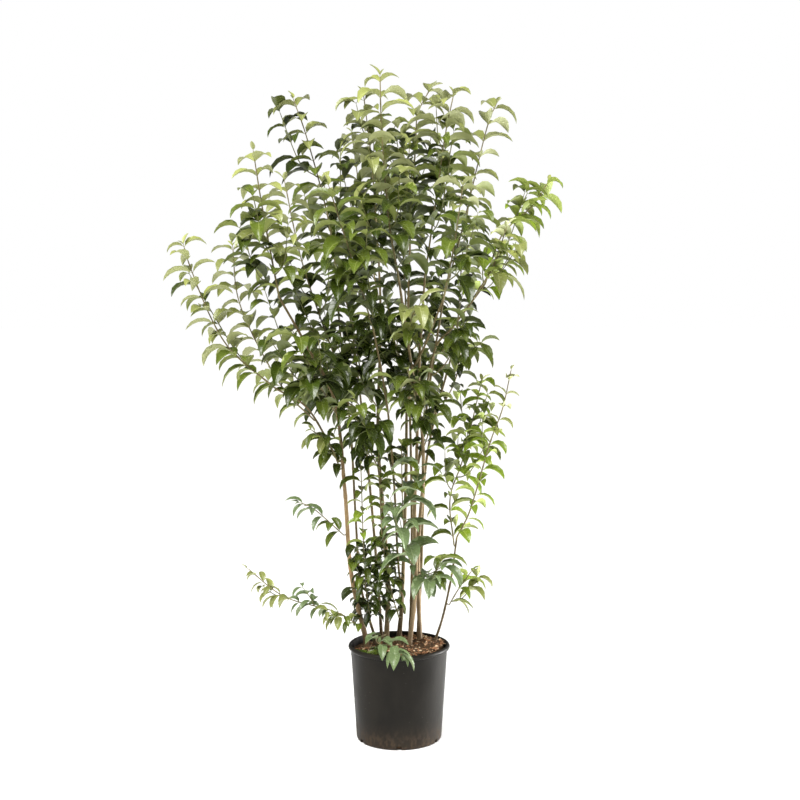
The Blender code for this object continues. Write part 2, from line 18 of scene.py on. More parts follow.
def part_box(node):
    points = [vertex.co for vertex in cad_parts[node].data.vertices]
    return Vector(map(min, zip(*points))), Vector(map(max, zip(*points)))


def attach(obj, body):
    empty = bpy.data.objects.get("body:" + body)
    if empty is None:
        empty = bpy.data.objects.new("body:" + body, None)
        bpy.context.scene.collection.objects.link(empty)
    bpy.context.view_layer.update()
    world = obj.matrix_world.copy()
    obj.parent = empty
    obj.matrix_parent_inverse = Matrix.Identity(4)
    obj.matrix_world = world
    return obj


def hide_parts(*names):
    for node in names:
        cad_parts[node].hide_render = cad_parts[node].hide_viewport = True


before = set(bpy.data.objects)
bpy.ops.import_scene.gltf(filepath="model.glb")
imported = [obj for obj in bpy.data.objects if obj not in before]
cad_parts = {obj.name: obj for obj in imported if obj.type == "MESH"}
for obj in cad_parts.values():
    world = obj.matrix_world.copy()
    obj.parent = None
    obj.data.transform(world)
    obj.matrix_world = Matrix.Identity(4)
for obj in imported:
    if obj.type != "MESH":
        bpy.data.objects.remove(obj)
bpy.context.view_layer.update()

# %% [markdown]
# ## Camera
# The plant stands 1.75 m tall and is seen from chest height, a little from above, so that the mulch just
# shows over the pot's rim. A long lens from 3.6 m keeps the canes upright. The camera is added at its place,
# pitched a few degrees below the horizon.

# %% Camera
CAMERA_DISTANCE = 3.6
CAMERA_HEIGHT = 1.22
CAMERA_PITCH = math.radians(5.0)
LENS = 62.0
FILM_WIDTH = 36.0
LENS_SHIFT = 0.0012  # to the side, in widths of the view

bpy.ops.object.camera_add(
    location=(0, -CAMERA_DISTANCE, CAMERA_HEIGHT), rotation=(math.pi / 2 - CAMERA_PITCH, 0, 0))
camera = bpy.context.object
camera.data.sensor_width = FILM_WIDTH
camera.data.lens = LENS
camera.data.shift_x = LENS_SHIFT
bpy.context.scene.camera = camera
print("camera:", LENS, "mm at", tuple(round(v, 2) for v in camera.location))

# %% [markdown]
# ## Floor
# The pot stands on a pale, matt studio floor. A plane is enough, and it lies a hair below the pot's flat
# underside so that the two faces don't fight.

# %% Floor
FLOOR_SIZE = 60.0
FLOOR_DROP = 0.0005
FLOOR_COLOUR = (0.97, 0.97, 0.97, 1)


def shader_of(material):
    return material.node_tree.nodes["Principled BSDF"]


def plain_material(name, colour, roughness, specular):
    material = bpy.data.materials.new(name)
    material.use_nodes = True
    shader = shader_of(material)
    shader.inputs["Base Color"].default_value = colour
    shader.inputs["Roughness"].default_value = roughness
    shader.inputs["Specular IOR Level"].default_value = specular
    return material


bpy.ops.object.select_all(action="DESELECT")
bpy.ops.mesh.primitive_plane_add(size=FLOOR_SIZE, location=(0, 0, -FLOOR_DROP))
floor = bpy.context.object
floor.name = "floor"
floor.data.materials.append(plain_material("pale_floor", FLOOR_COLOUR, 0.9, 0.0))
print("floor:", FLOOR_SIZE, "m square")

# %% [markdown]
# ## A white world
# A nursery shows its stock in a white tent, so light comes from every side. A white world gives that without
# any lamps. It is white to the camera, half as strong as a light, and dim to mirror rays, which keeps the
# darks of the glossy leaves deep: the Light Path node tells these rays apart. The Standard view shows plain
# colours as they are.

# %% World
FILL_STRENGTH = 0.52
GLOSS_STRENGTH = 0.24


def add_node(tree, kind, values=None, **settings):
    """A node with settings, and with values or links on its named or numbered inputs."""
    node = tree.nodes.new(kind)
    for key, value in settings.items():
        setattr(node, key, value)
    for key, value in (values or {}).items():
        if isinstance(value, bpy.types.NodeSocket):
            tree.links.new(value, node.inputs[key])
        else:
            node.inputs[key].default_value = value
    return node


def ramp_node(tree, value, low, high, out_low=0.0, out_high=1.0):
    """Maps a value from one range to another, clamped."""
    values = {"Value": value, "From Min": low, "From Max": high, "To Min": out_low, "To Max": out_high}
    return add_node(tree, "ShaderNodeMapRange", values).outputs["Result"]


world = bpy.data.worlds.new("white_tent")
world.use_nodes = True
sky = world.node_tree
ray = add_node(sky, "ShaderNodeLightPath").outputs
as_light = ramp_node(sky, ray["Is Glossy Ray"], 0.0, 1.0, FILL_STRENGTH, GLOSS_STRENGTH)
as_seen = ramp_node(sky, ray["Is Camera Ray"], 0.0, 1.0, as_light, 1.0)
backdrop = sky.nodes["Background"]
backdrop.inputs["Color"].default_value = (1.0, 1.0, 1.0, 1)
sky.links.new(as_seen, backdrop.inputs["Strength"])
bpy.context.scene.world = world
bpy.context.scene.view_settings.view_transform = "Standard"
print("world: white, fill", FILL_STRENGTH, "and gloss", GLOSS_STRENGTH)

# %% [markdown]
# ## Sun and soft boxes
# Most light falls from above the camera's left shoulder. It lights the outer leaves and leaves the heart of
# the crown dark. A sun with a very wide disc does that with soft shadows. Two area lamps are there to be
# mirrored: the large one puts a sheen on the upper leaves, the small one, whose beam is narrower, draws a
# light edge down the right side of the pot and only brushes the leaves above it.

# %% Lamps
SUN_STRENGTH = 2.3
SUN_ANGLE = math.radians(50)  # how wide the sun's disc is, so how soft its shadows are
SUN_TURN = (math.radians(38), 0, math.radians(-32))
WARM_WHITE = (1.0, 0.975, 0.925)


def soft_box(name, place, target, size, power, spread=180.0):
    """An area lamp at a place, turned to a target, with the spread of its beam in degrees."""
    turn = (Vector(target) - Vector(place)).to_track_quat("-Z", "Y").to_euler()
    bpy.ops.object.light_add(type="AREA", location=place, rotation=turn)
    lamp = bpy.context.object
    lamp.name = name
    lamp.data.size = size
    lamp.data.energy = power
    lamp.data.spread = math.radians(spread)


bpy.ops.object.light_add(type="SUN", location=(-2, -3, 4), rotation=SUN_TURN)
sun = bpy.context.object
sun.name = "soft_sun"
sun.data.energy = SUN_STRENGTH
sun.data.color = WARM_WHITE
sun.data.angle = SUN_ANGLE
soft_box("soft_box_above", (-1.3, -2.4, 4.2), (0, 0, 1.2), 2.4, 180)
soft_box("soft_box_right", (2.0, 0.5, 0.42), (0, 0, 0.2), 1.1, 42, 100.0)
print("lamps: a soft sun and two soft boxes")

# %% [markdown]
# ## Shared shading: speckle
# Bark, plastic and mulch all vary over their surface in the same way, by a fine and a coarse cloud. That is
# one node group with named inputs, so each material sets only its own scale and stretch. The group reads
# Object coordinates, because every finished piece lies in its mesh at the origin and the pattern then keeps
# its place. It puts out a mask and a height and leaves the shader to the material.

# %% Node group: speckle
FINE_RATIO = 7.0  # how much finer the fine cloud is than the coarse one
COARSE_RANGE = (0.38, 0.64)  # the noise between which the mask goes from none to full
FINE_RANGE = (0.44, 0.62)


def new_group(name, inputs, outputs):
    """A shader node group with named sockets, as (group, input node, output node)."""
    group = bpy.data.node_groups.new(name, "ShaderNodeTree")
    for label, kind, value in inputs:
        socket = group.interface.new_socket(name=label, in_out="INPUT", socket_type=kind)
        socket.default_value = value
    for label, kind in outputs:
        group.interface.new_socket(name=label, in_out="OUTPUT", socket_type=kind)
    return group, group.nodes.new("NodeGroupInput"), group.nodes.new("NodeGroupOutput")


def math_node(tree, operation, first, second=0.0, clamp=False):
    values = {0: first, 1: second}
    return add_node(tree, "ShaderNodeMath", values, operation=operation, use_clamp=clamp).outputs[0]


def multiply(tree, first, second):
    return math_node(tree, "MULTIPLY", first, second)


def noise_node(tree, place, scale, detail):
    values = {"Vector": place, "Scale": scale, "Detail": detail}
    return add_node(tree, "ShaderNodeTexNoise", values).outputs[0]


speckle, speckle_in, speckle_out = new_group(
    "speckle",
    [("Scale", "NodeSocketFloat", 60.0), ("Stretch", "NodeSocketVector", (1.0, 1.0, 1.0))],
    [("Coarse", "NodeSocketFloat"), ("Fine", "NodeSocketFloat"), ("Height", "NodeSocketFloat")])
place = add_node(speckle, "ShaderNodeTexCoord").outputs["Object"]
place = add_node(speckle, "ShaderNodeVectorMath", {0: place, 1: speckle_in.outputs["Stretch"]},
                 operation="MULTIPLY").outputs[0]
coarse = noise_node(speckle, place, speckle_in.outputs["Scale"], 3.0)
fine = noise_node(speckle, place, multiply(speckle, speckle_in.outputs["Scale"], FINE_RATIO), 5.0)
coarse_mask = ramp_node(speckle, coarse, *COARSE_RANGE)
fine_mask = ramp_node(speckle, fine, *FINE_RANGE)
relief = math_node(speckle, "ADD", multiply(speckle, coarse_mask, 0.5), multiply(speckle, fine_mask, 0.5))
speckle.links.new(coarse_mask, speckle_out.inputs["Coarse"])
speckle.links.new(fine_mask, speckle_out.inputs["Fine"])
speckle.links.new(relief, speckle_out.inputs["Height"])
print("group: speckle, with", len(speckle.nodes), "nodes")

# %% [markdown]
# ## Leaf shading
# A privet leaf is thick and glossy above and matt and paler beneath. A light midrib runs down its middle,
# and faint side veins leave the midrib at a slant. All leaves share one small UV map: the left half holds
# the upper side, the right half the underside. A group reads that map, so every leaf gets its veins in the
# right place, and each tint of leaf is one material with plain colours of its own.

# %% Node group: leaf surface
LEAF_UV = "OFBake"
SIDE_VEINS = 8.0
VEIN_SLANT = 0.17
RIB_EDGE = (0.02, 0.10)  # distance from the midrib's middle where it starts and ends to fade
VEIN_WIDTH = 0.10
RIB_SHOWS, VEINS_SHOW, CLOUD_SHOWS = 0.75, 0.16, 0.14
GLOSS_RANGE = (0.20, 0.31)  # roughness of the upper side, in clouds
MATT_BENEATH = 0.28  # how much rougher the underside is


def mix_colours(tree, share, first, second):
    return add_node(tree, "ShaderNodeMix", {0: share, 6: first, 7: second}, data_type="RGBA").outputs[2]


def distance_from_middle(tree, value):
    return math_node(tree, "ABSOLUTE", math_node(tree, "SUBTRACT", value, 0.5))


surface, surface_in, surface_out = new_group(
    "leaf_surface",
    [("Blade", "NodeSocketColor", (0.1, 0.2, 0.03, 1)), ("Rib", "NodeSocketColor", (0.3, 0.4, 0.1, 1)),
     ("Underside", "NodeSocketColor", (0.2, 0.3, 0.1, 1))],
    [("Color", "NodeSocketColor"), ("Roughness", "NodeSocketFloat"), ("Height", "NodeSocketFloat")])
blade_colour = surface_in.outputs["Blade"]
rib_colour = surface_in.outputs["Rib"]
underside_colour = surface_in.outputs["Underside"]
leaf_map = add_node(surface, "ShaderNodeUVMap", uv_map=LEAF_UV).outputs["UV"]
along_across = add_node(surface, "ShaderNodeSeparateXYZ", {0: leaf_map})
across, along = along_across.outputs["X"], along_across.outputs["Y"]
beneath = math_node(surface, "GREATER_THAN", across, 0.5)
across_side = math_node(surface, "FRACT", multiply(surface, across, 2.0))
off_rib = multiply(surface, distance_from_middle(surface, across_side), 2.0)
rib = ramp_node(surface, off_rib, *RIB_EDGE, 1.0, 0.0)
slanted = math_node(surface, "SUBTRACT", along, multiply(surface, off_rib, VEIN_SLANT))
wave = math_node(surface, "FRACT", multiply(surface, slanted, SIDE_VEINS))
vein = ramp_node(surface, distance_from_middle(surface, wave), 0.0, VEIN_WIDTH, 1.0, 0.0)
cloud = noise_node(surface, leaf_map, 7.0, 2.0)
lines = math_node(surface, "MAXIMUM", multiply(surface, rib, RIB_SHOWS), multiply(surface, vein, VEINS_SHOW))
lines = math_node(surface, "ADD", lines, ramp_node(surface, cloud, 0.45, 0.75, 0.0, CLOUD_SHOWS), clamp=True)
above = mix_colours(surface, lines, blade_colour, rib_colour)
below = mix_colours(surface, multiply(surface, rib, 0.5), underside_colour, rib_colour)
gloss = math_node(surface, "ADD", ramp_node(surface, cloud, 0.3, 0.7, *GLOSS_RANGE),
                  multiply(surface, beneath, MATT_BENEATH))
grooves = math_node(surface, "MAXIMUM", rib, multiply(surface, vein, 0.5))
surface.links.new(mix_colours(surface, beneath, above, below), surface_out.inputs["Color"])
surface.links.new(gloss, surface_out.inputs["Roughness"])
surface.links.new(math_node(surface, "SUBTRACT", 1.0, grooves), surface_out.inputs["Height"])
print("group: leaf_surface, with", len(surface.nodes), "nodes")

# %% [markdown]
# ## Leaf tints
# A shrub is never one green. New leaves at the leaders' tips are yellow-green, the shoots on the lower canes
# grey-green and the young side shoots on the right bright lime. The outer and upper crown is painted paler
# olive, as painted light, and the heart nearly black-green, as painted shade. Each tint is one plain
# material, dealt out by spray later on. It needs no image texture, and its colours survive the export as they
# are.

# %% Leaf materials
TINTS = {
    # deep and shade, dealt to the crown's heart, are painted shade; light and young are raised as painted
    # light for the lit outside; the undersides are paler, as a privet's are, and raised further as painted
    # light from below
    # upper side, rib, underside
    "young": ((0.300, 0.330, 0.090), (0.46, 0.49, 0.21), (0.420, 0.450, 0.190)),
    "light": ((0.200, 0.225, 0.062), (0.36, 0.385, 0.16), (0.360, 0.385, 0.165)),
    "mid": ((0.088, 0.124, 0.013), (0.21, 0.25, 0.06), (0.250, 0.292, 0.072)),
    "deep": ((0.036, 0.057, 0.005), (0.10, 0.132, 0.022), (0.118, 0.148, 0.029)),
    "shade": ((0.019, 0.030, 0.003), (0.05, 0.067, 0.013), (0.058, 0.075, 0.015)),
    "lime": ((0.185, 0.270, 0.022), (0.36, 0.44, 0.08), (0.360, 0.440, 0.095)),
    "sage": ((0.120, 0.170, 0.070), (0.23, 0.29, 0.14), (0.240, 0.300, 0.150)),
}
LEAF_SPECULAR = 0.55
LEAF_RELIEF = 0.0006


def link_bump(tree, shader, height, distance, strength=0.6):
    bump = add_node(tree, "ShaderNodeBump", {"Height": height, "Strength": strength, "Distance": distance})
    tree.links.new(bump.outputs[0], shader.inputs["Normal"])


def leaf_material(tint, blade, rib, underside):
    """One tint's material, whose colours the leaf_surface group puts in their places."""
    material = plain_material("leaf_" + tint, (*blade, 1), 0.35, LEAF_SPECULAR)
    tree = material.node_tree
    colours = {"Blade": (*blade, 1), "Rib": (*rib, 1), "Underside": (*underside, 1)}
    group = add_node(tree, "ShaderNodeGroup", node_tree=surface)
    for label, colour in colours.items():
        group.inputs[label].default_value = colour
    shader = shader_of(material)
    tree.links.new(group.outputs["Color"], shader.inputs["Base Color"])
    tree.links.new(group.outputs["Roughness"], shader.inputs["Roughness"])
    link_bump(tree, shader, group.outputs["Height"], LEAF_RELIEF)
    return material


leaf_materials = {tint: leaf_material(tint, *colours) for tint, colours in TINTS.items()}
print("leaf materials:", ", ".join(leaf_materials))

# %% [markdown]
# ## Mulch and twigs
# Mulch is chipped bark in three browns over dark compost. Twigs are thin and olive brown, side sprays green.
# All of them are one recipe: a Principled shader that runs from a low to a high colour in clouds, with flecks
# of a third colour, all by the speckle group. So each finish is only a row of three colours and a few sizes.

# %% Mulch and twig materials
EVEN = (1.0, 1.0, 1.0)
FLECK_SHOWS = 0.45
BARK_SPECULAR = 0.25


def speckle_in_material(tree, scale, stretch):
    """The outputs of a speckle group that is placed in a material."""
    group = add_node(tree, "ShaderNodeGroup", node_tree=speckle)
    group.inputs["Scale"].default_value = scale
    group.inputs["Stretch"].default_value = stretch
    return group.outputs


def speckled(name, colours, scale, stretch, roughness, relief):
    """A material that runs from a low to a high colour in clouds, with flecks of a third."""
    low, high, fleck = ((*colour, 1) for colour in colours)
    material = plain_material(name, low, roughness[0], BARK_SPECULAR)
    tree = material.node_tree
    shader = shader_of(material)
    masks = speckle_in_material(tree, scale, stretch)
    ground = mix_colours(tree, masks["Coarse"], low, high)
    flecked = mix_colours(tree, multiply(tree, masks["Fine"], FLECK_SHOWS), ground, fleck)
    tree.links.new(flecked, shader.inputs["Base Color"])
    tree.links.new(ramp_node(tree, masks["Coarse"], 0.0, 1.0, *roughness), shader.inputs["Roughness"])
    link_bump(tree, shader, masks["Height"], relief)
    return material


twig_bark = speckled("twig_bark", ((0.110, 0.088, 0.034), (0.215, 0.178, 0.074), (0.28, 0.24, 0.13)),
                     90.0, (1.0, 1.0, 0.3), (0.5, 0.7), 0.0004)
green_twig = speckled("green_twig", ((0.12, 0.135, 0.04), (0.20, 0.21, 0.07), (0.16, 0.12, 0.06)),
                      110.0, (1.0, 1.0, 0.3), (0.4, 0.55), 0.0003)
compost_earth = speckled("compost_earth",
                         ((0.024, 0.013, 0.006), (0.075, 0.040, 0.018), (0.15, 0.085, 0.038)),
                         120.0, EVEN, (0.85, 1.0), 0.003)
CHIPS = {
    # colours, roughness, share of the chips
    "red": (((0.19, 0.078, 0.034), (0.33, 0.155, 0.075), (0.42, 0.25, 0.135)), (0.75, 0.95), 0.48),
    "dark": (((0.048, 0.026, 0.011), (0.11, 0.058, 0.024), (0.17, 0.10, 0.048)), (0.75, 0.95), 0.33),
    "tan": (((0.44, 0.29, 0.16), (0.60, 0.43, 0.27), (0.68, 0.54, 0.36)), (0.7, 0.9), 0.19),
}
chip_materials = {kind: speckled("bark_chip_" + kind, colours, 140.0, EVEN, roughness, 0.0008)
                  for kind, (colours, roughness, _) in CHIPS.items()}
print("materials: two for twigs, one for compost and", len(chip_materials), "for chips")

# %% [markdown]
# ## Bark of the canes
# The canes have smooth bark that is streaked along them and dotted with pale pores. It is darker near the
# ground and olive where it is young, so towards the top. Canes in the light are painted tan and pale, those
# within the clump brown, as painted light and painted shade. Streaks are speckle that is stretched upright,
# pores are the middles of Voronoi cells, and the darker foot and the young bark are mixed in by height, for
# which Object coordinates are the plant's own metres.

# %% Bark materials
POT_HEIGHT = 0.255
RIM_DEPTH = 0.013
YOUNG_BARK = (0.118, 0.090, 0.036, 1)
YOUNG_FROM, YOUNG_TO = 0.65, 1.10
DARK_FOOT_BARK = (0.075, 0.046, 0.026, 1)
DARK_FOOT_TOP = 0.42
YOUNG_SHOWS, DARK_FOOT_SHOWS, PORES_SHOW = 0.85, 0.7, 0.55
PORE_COLOUR = (0.42, 0.32, 0.18, 1)
PORE_SCALE = 230.0
# tan and pale are painted light for the lit canes, brown is painted shade for those within the clump and for
# the boughs
BARKS = {
    "tan": ((0.200, 0.125, 0.058), (0.34, 0.225, 0.110), (0.42, 0.31, 0.17)),
    "pale": ((0.235, 0.160, 0.082), (0.36, 0.262, 0.148), (0.44, 0.34, 0.21)),
    "brown": ((0.075, 0.055, 0.022), (0.185, 0.137, 0.058), (0.28, 0.215, 0.11)),
}


def place_and_height(tree):
    """The point on the plant that is shaded, and its height over the floor."""
    place = add_node(tree, "ShaderNodeTexCoord").outputs["Object"]
    return place, add_node(tree, "ShaderNodeSeparateXYZ", {0: place}).outputs["Z"]


def dots_node(tree, place, scale, inner, outer, strength):
    """A mask of round dots, one in each Voronoi cell."""
    cells = add_node(tree, "ShaderNodeTexVoronoi", {"Vector": place, "Scale": scale}).outputs["Distance"]
    return ramp_node(tree, cells, inner, outer, strength, 0.0)


def cane_bark(name, colours):
    """Streaked bark with pale pores, darker near the ground and young higher up."""
    material = speckled(name, colours, 50.0, (1.0, 1.0, 0.16), (0.6, 0.8), 0.0008)
    tree = material.node_tree
    shader = shader_of(material)
    bark = shader.inputs["Base Color"].links[0].from_socket
    place, height = place_and_height(tree)
    young = ramp_node(tree, height, YOUNG_FROM, YOUNG_TO, 0.0, YOUNG_SHOWS)
    # the bark is mixed darker from the mulch up to a height
    darker_foot = ramp_node(tree, height, POT_HEIGHT - RIM_DEPTH, DARK_FOOT_TOP, DARK_FOOT_SHOWS, 0.0)
    bark = mix_colours(tree, young, bark, YOUNG_BARK)
    bark = mix_colours(tree, darker_foot, bark, DARK_FOOT_BARK)
    bark = mix_colours(tree, dots_node(tree, place, PORE_SCALE, 0.14, 0.26, PORES_SHOW), bark, PORE_COLOUR)
    tree.links.new(bark, shader.inputs["Base Color"])
    return material


bark_materials = {tone: cane_bark("bark_" + tone, colours) for tone, colours in BARKS.items()}
print("bark:", ", ".join(bark_materials))

# %% [markdown]
# ## Black plastic
# The pot is moulded black plastic, satin and slightly cloudy. It has dust towards its foot, where water
# splashes, and small scuffs, and its rim is painted greyer as a painted highlight. The clouds are speckle
# again, the dust and the painted rim highlight are masks by height, and the scuffs are dots that show only in
# the lighter clouds.

# %% Pot material
DUST_TOP = 0.075  # how far dust reaches up the pot
DUST_COLOUR = (0.095, 0.063, 0.040, 1)
DUST_SHOWS = 0.6
BLACK = (0.0070, 0.0060, 0.0044, 1)
CLOUDY_BLACK = (0.0118, 0.0102, 0.0078, 1)
# grey of the scuffs, also used for the painted highlight on the rim
SCUFF_AND_RIM_HIGHLIGHT_COLOUR = (0.045, 0.042, 0.036, 1)
RIM_HIGHLIGHT_SHOWS, SCUFFS_SHOW = 0.1, 0.8
SCUFF_SCALE = 70.0


def pot_plastic():
    """Black plastic with dust at the foot, scuffs and a painted highlight on the rim."""
    material = plain_material("black_plastic", BLACK, 0.45, 0.12)
    tree = material.node_tree
    shader = shader_of(material)
    masks = speckle_in_material(tree, 16.0, (1.0, 1.0, 0.5))
    place, height = place_and_height(tree)
    low = ramp_node(tree, height, 0.0, DUST_TOP, 1.0, 0.0)
    patchy = ramp_node(tree, masks["Fine"], 0.0, 1.0, 0.35, 1.0)
    dust = multiply(tree, math_node(tree, "POWER", low, 1.6), patchy)
    black = mix_colours(tree, masks["Coarse"], BLACK, CLOUDY_BLACK)
    dusty = mix_colours(tree, multiply(tree, dust, DUST_SHOWS), black, DUST_COLOUR)
    # painted highlight: the top of the rim is painted greyer, as if lit
    painted_rim_highlight = ramp_node(tree, height, POT_HEIGHT - RIM_DEPTH, POT_HEIGHT, 0.0, RIM_HIGHLIGHT_SHOWS)
    scuffs = multiply(tree, dots_node(tree, place, SCUFF_SCALE, 0.06, 0.10, SCUFFS_SHOW), masks["Coarse"])
    scuffed_with_rim_highlight = mix_colours(tree, math_node(tree, "MAXIMUM", painted_rim_highlight, scuffs), dusty, SCUFF_AND_RIM_HIGHLIGHT_COLOUR)
    rough = math_node(tree, "ADD", ramp_node(tree, masks["Coarse"], 0.0, 1.0, 0.36, 0.50),
                      multiply(tree, dust, 0.4), clamp=True)
    tree.links.new(scuffed_with_rim_highlight, shader.inputs["Base Color"])
    tree.links.new(rough, shader.inputs["Roughness"])
    link_bump(tree, shader, masks["Fine"], 0.0002, 0.35)
    return material


black_plastic = pot_plastic()
print("pot material, dust up to", DUST_TOP, "m")

# %% [markdown]
# ## The nursery pot
# The real pot is one thin moulding: a round wall that widens from its foot to a rolled rim, with a soft
# rounding below and drain notches round the foot. A lathe would need a drawn profile, and by hand it is as
# quick to extrude a circle upward ring by ring and to scale each ring as it is made. The wall goes up the
# outside, over the roll of the rim and back down the inside, so it is closed and has its real thickness.

# %% The pot's wall
RIM_RADIUS = 0.135
NECK_RADIUS = 0.1285
FOOT_RADIUS = 0.1135
FOOT_ROUNDING = 0.007
ROLL = RIM_DEPTH / 2
WALL = 0.003
POT_FLOOR = 0.004
FLOOR_ROUNDING = 0.004
POT_SIDES = 96


def wall_radius(z):
    """The wall's outer radius at a height."""
    share = (z - FOOT_ROUNDING) / (POT_HEIGHT - RIM_DEPTH - FOOT_ROUNDING)
    return FOOT_RADIUS + (NECK_RADIUS - FOOT_RADIUS) * share


def arc_points(centre_r, centre_z, radius, start, end, steps):
    """Rings along an arc, from a start to an end angle in degrees, as (radius, height)."""
    angles = [math.radians(start + (end - start) * i / steps) for i in range(steps + 1)]
    return [(centre_r + radius * math.cos(a), centre_z + radius * math.sin(a)) for a in angles]


def finish_mesh(piece, angle):
    """Merges doubles, turns faces outwards and shades by angle, with the place applied to the mesh."""
    bpy.ops.object.select_all(action="DESELECT")
    piece.select_set(True)
    bpy.context.view_layer.objects.active = piece
    bpy.ops.object.transform_apply(location=True, rotation=True, scale=True)
    bpy.ops.object.mode_set(mode="EDIT")
    bpy.ops.mesh.select_all(action="SELECT")
    bpy.ops.mesh.remove_doubles(threshold=0.00001)
    bpy.ops.mesh.normals_make_consistent(inside=False)
    bpy.ops.object.mode_set(mode="OBJECT")
    bpy.ops.object.shade_smooth_by_angle(angle=math.radians(angle))


def set_material(piece, material):
    piece.data.materials.clear()
    piece.data.materials.append(material)


def extrude_rings(name, rings, sides):
    """A closed turned piece: a filled first ring, then ring after ring extruded from it."""
    bpy.ops.object.select_all(action="DESELECT")
    bpy.ops.mesh.primitive_circle_add(vertices=sides, radius=rings[0][0], fill_type="NGON",
                                      location=(0, 0, rings[0][1]))
    piece = bpy.context.object
    piece.name = name
    bpy.ops.object.mode_set(mode="EDIT")
    bpy.ops.mesh.select_all(action="SELECT")
    for (radius, z), (next_radius, next_z) in zip(rings, rings[1:]):
        bpy.ops.mesh.extrude_region_move(TRANSFORM_OT_translate={"value": (0, 0, next_z - z)})
        grow = next_radius / radius
        bpy.ops.transform.resize(value=(grow, grow, 1), center_override=(0, 0, next_z))
    bpy.ops.object.mode_set(mode="OBJECT")
    return piece


pot_rings = arc_points(FOOT_RADIUS - FOOT_ROUNDING, FOOT_ROUNDING, FOOT_ROUNDING, -90, 0, 5)
pot_rings += [(wall_radius(z), z) for z in (0.10, 0.19)]
pot_rings += [(NECK_RADIUS - 0.0005, POT_HEIGHT - RIM_DEPTH - 0.004), (NECK_RADIUS, POT_HEIGHT - RIM_DEPTH)]
pot_rings += arc_points(RIM_RADIUS - ROLL, POT_HEIGHT - ROLL, ROLL, -75, 90, 9)
inner_neck = NECK_RADIUS - WALL
pot_rings += [(inner_neck + 0.0022, POT_HEIGHT - 0.0006), (inner_neck + 0.0003, POT_HEIGHT - 0.0035)]
pot_rings += [(wall_radius(z) - WALL, z) for z in (0.225, 0.12, POT_FLOOR + FLOOR_ROUNDING)]
pot_rings += [(wall_radius(POT_FLOOR) - WALL - FLOOR_ROUNDING, POT_FLOOR)]
pot = extrude_rings("nursery_pot", pot_rings, POT_SIDES)
print("pot wall:", len(pot_rings), "rings of", POT_SIDES)

# %% [markdown]
# ## Drain notches
# Water runs out through notches in the pot's foot. They could be modelled face by face, but a Boolean is
# quicker and cuts wall and floor in one go: six cubes are added at their place round the foot, joined into
# one cutter and taken away from the wall. After that the cutter is deleted.

# %% Drain notches
DRAIN_NOTCHES = 6
DRAIN_SIZE = (0.012, 0.013, 0.022)

bpy.ops.object.select_all(action="DESELECT")
cutters = []
drain_reach = FOOT_RADIUS - DRAIN_SIZE[0] / 4
for i in range(DRAIN_NOTCHES):
    angle = 2 * math.pi * i / DRAIN_NOTCHES - math.pi / 2
    spot = (drain_reach * math.cos(angle), drain_reach * math.sin(angle), 0)
    bpy.ops.mesh.primitive_cube_add(size=1, location=spot, rotation=(0, 0, angle), scale=DRAIN_SIZE)
    cutters.append(bpy.context.object)
for cutter in cutters:
    cutter.select_set(True)
bpy.ops.object.join()
cutter = bpy.context.object
cut = pot.modifiers.new("drain", "BOOLEAN")
cut.operation = "DIFFERENCE"
cut.object = cutter
bpy.context.view_layer.objects.active = pot
bpy.ops.object.modifier_apply(modifier="drain")
bpy.data.objects.remove(cutter)
finish_mesh(pot, 40.0)
set_material(pot, black_plastic)
print("pot:", len(pot.data.polygons), "faces,", DRAIN_NOTCHES, "drain notches")

# %% [markdown]
# ## Compost
# Compost fills the pot and shows dark brown between the chips and in the drain notches. It is a turned body
# like the pot. Its top is inset ring by ring and then lifted by noise into an uneven slope, which stands
# highest on the right, where the mulch was tipped in.

# %% Compost
SOIL_TOP = 0.241
HEAP = 0.023  # about how much higher the mulch lies on the right than on the left
LUMPS = 0.004
LUMP_SCALE = 28
SOIL_SIDES = 64
SOIL_RINGS = 7
SOIL_RADIUS = wall_radius(SOIL_TOP) - WALL


def soil_height(x, y):
    """The compost's surface: an uneven slope that rises to the right."""
    slope = HEAP * max(-0.55, min(0.55, (x - 0.25 * y) / (1.6 * NECK_RADIUS)))
    return SOIL_TOP + slope + LUMPS * noise.noise(Vector((x * LUMP_SCALE, y * LUMP_SCALE, 0.4)))


soil_rings = [(wall_radius(POT_FLOOR) - 2 * WALL, POT_FLOOR + 0.001), (SOIL_RADIUS - 0.0006, 0.235)]
compost = extrude_rings("compost", soil_rings, SOIL_SIDES)
bpy.ops.object.mode_set(mode="EDIT")
for _ in range(SOIL_RINGS):
    bpy.ops.mesh.inset(thickness=NECK_RADIUS / (SOIL_RINGS + 1.5))
bpy.ops.mesh.poke()
bpy.ops.object.mode_set(mode="OBJECT")
for vertex in compost.data.vertices:
    x, y, z = vertex.co
    if z > 0.2 and math.hypot(x, y) < SOIL_RADIUS - 0.002:
        vertex.co.z = soil_height(x, y)
finish_mesh(compost, 60.0)
set_material(compost, compost_earth)
print("compost:", len(compost.data.polygons), "faces, heaped by", HEAP, "m")

# %% [markdown]
# ## A bark chip
# Mulch is small flat chips with some long shreds among them. One chip could be modelled by hand and copied,
# but then all would be alike, and more than a thousand of them would be as many objects. So a chip is worked
# out as a few points and faces: an uneven slab with six corners. A helper makes a mesh of such lists.

# %% One chip
CHIP_CORNERS = 6


def array_piece(name, points, faces, material, uvs=None):
    """One mesh object from arrays of points and faces, with one material."""
    mesh = bpy.data.meshes.new(name)
    mesh.from_pydata(points, [], faces)
    mesh.materials.append(material)
    if uvs is not None:
        layer = mesh.uv_layers.new(name=LEAF_UV)
        layer.data.foreach_set("uv", np.asarray(uvs, dtype=np.float32).ravel())
    piece = bpy.data.objects.new(name, mesh)
    bpy.context.scene.collection.objects.link(piece)
    mesh.shade_smooth()
    return piece


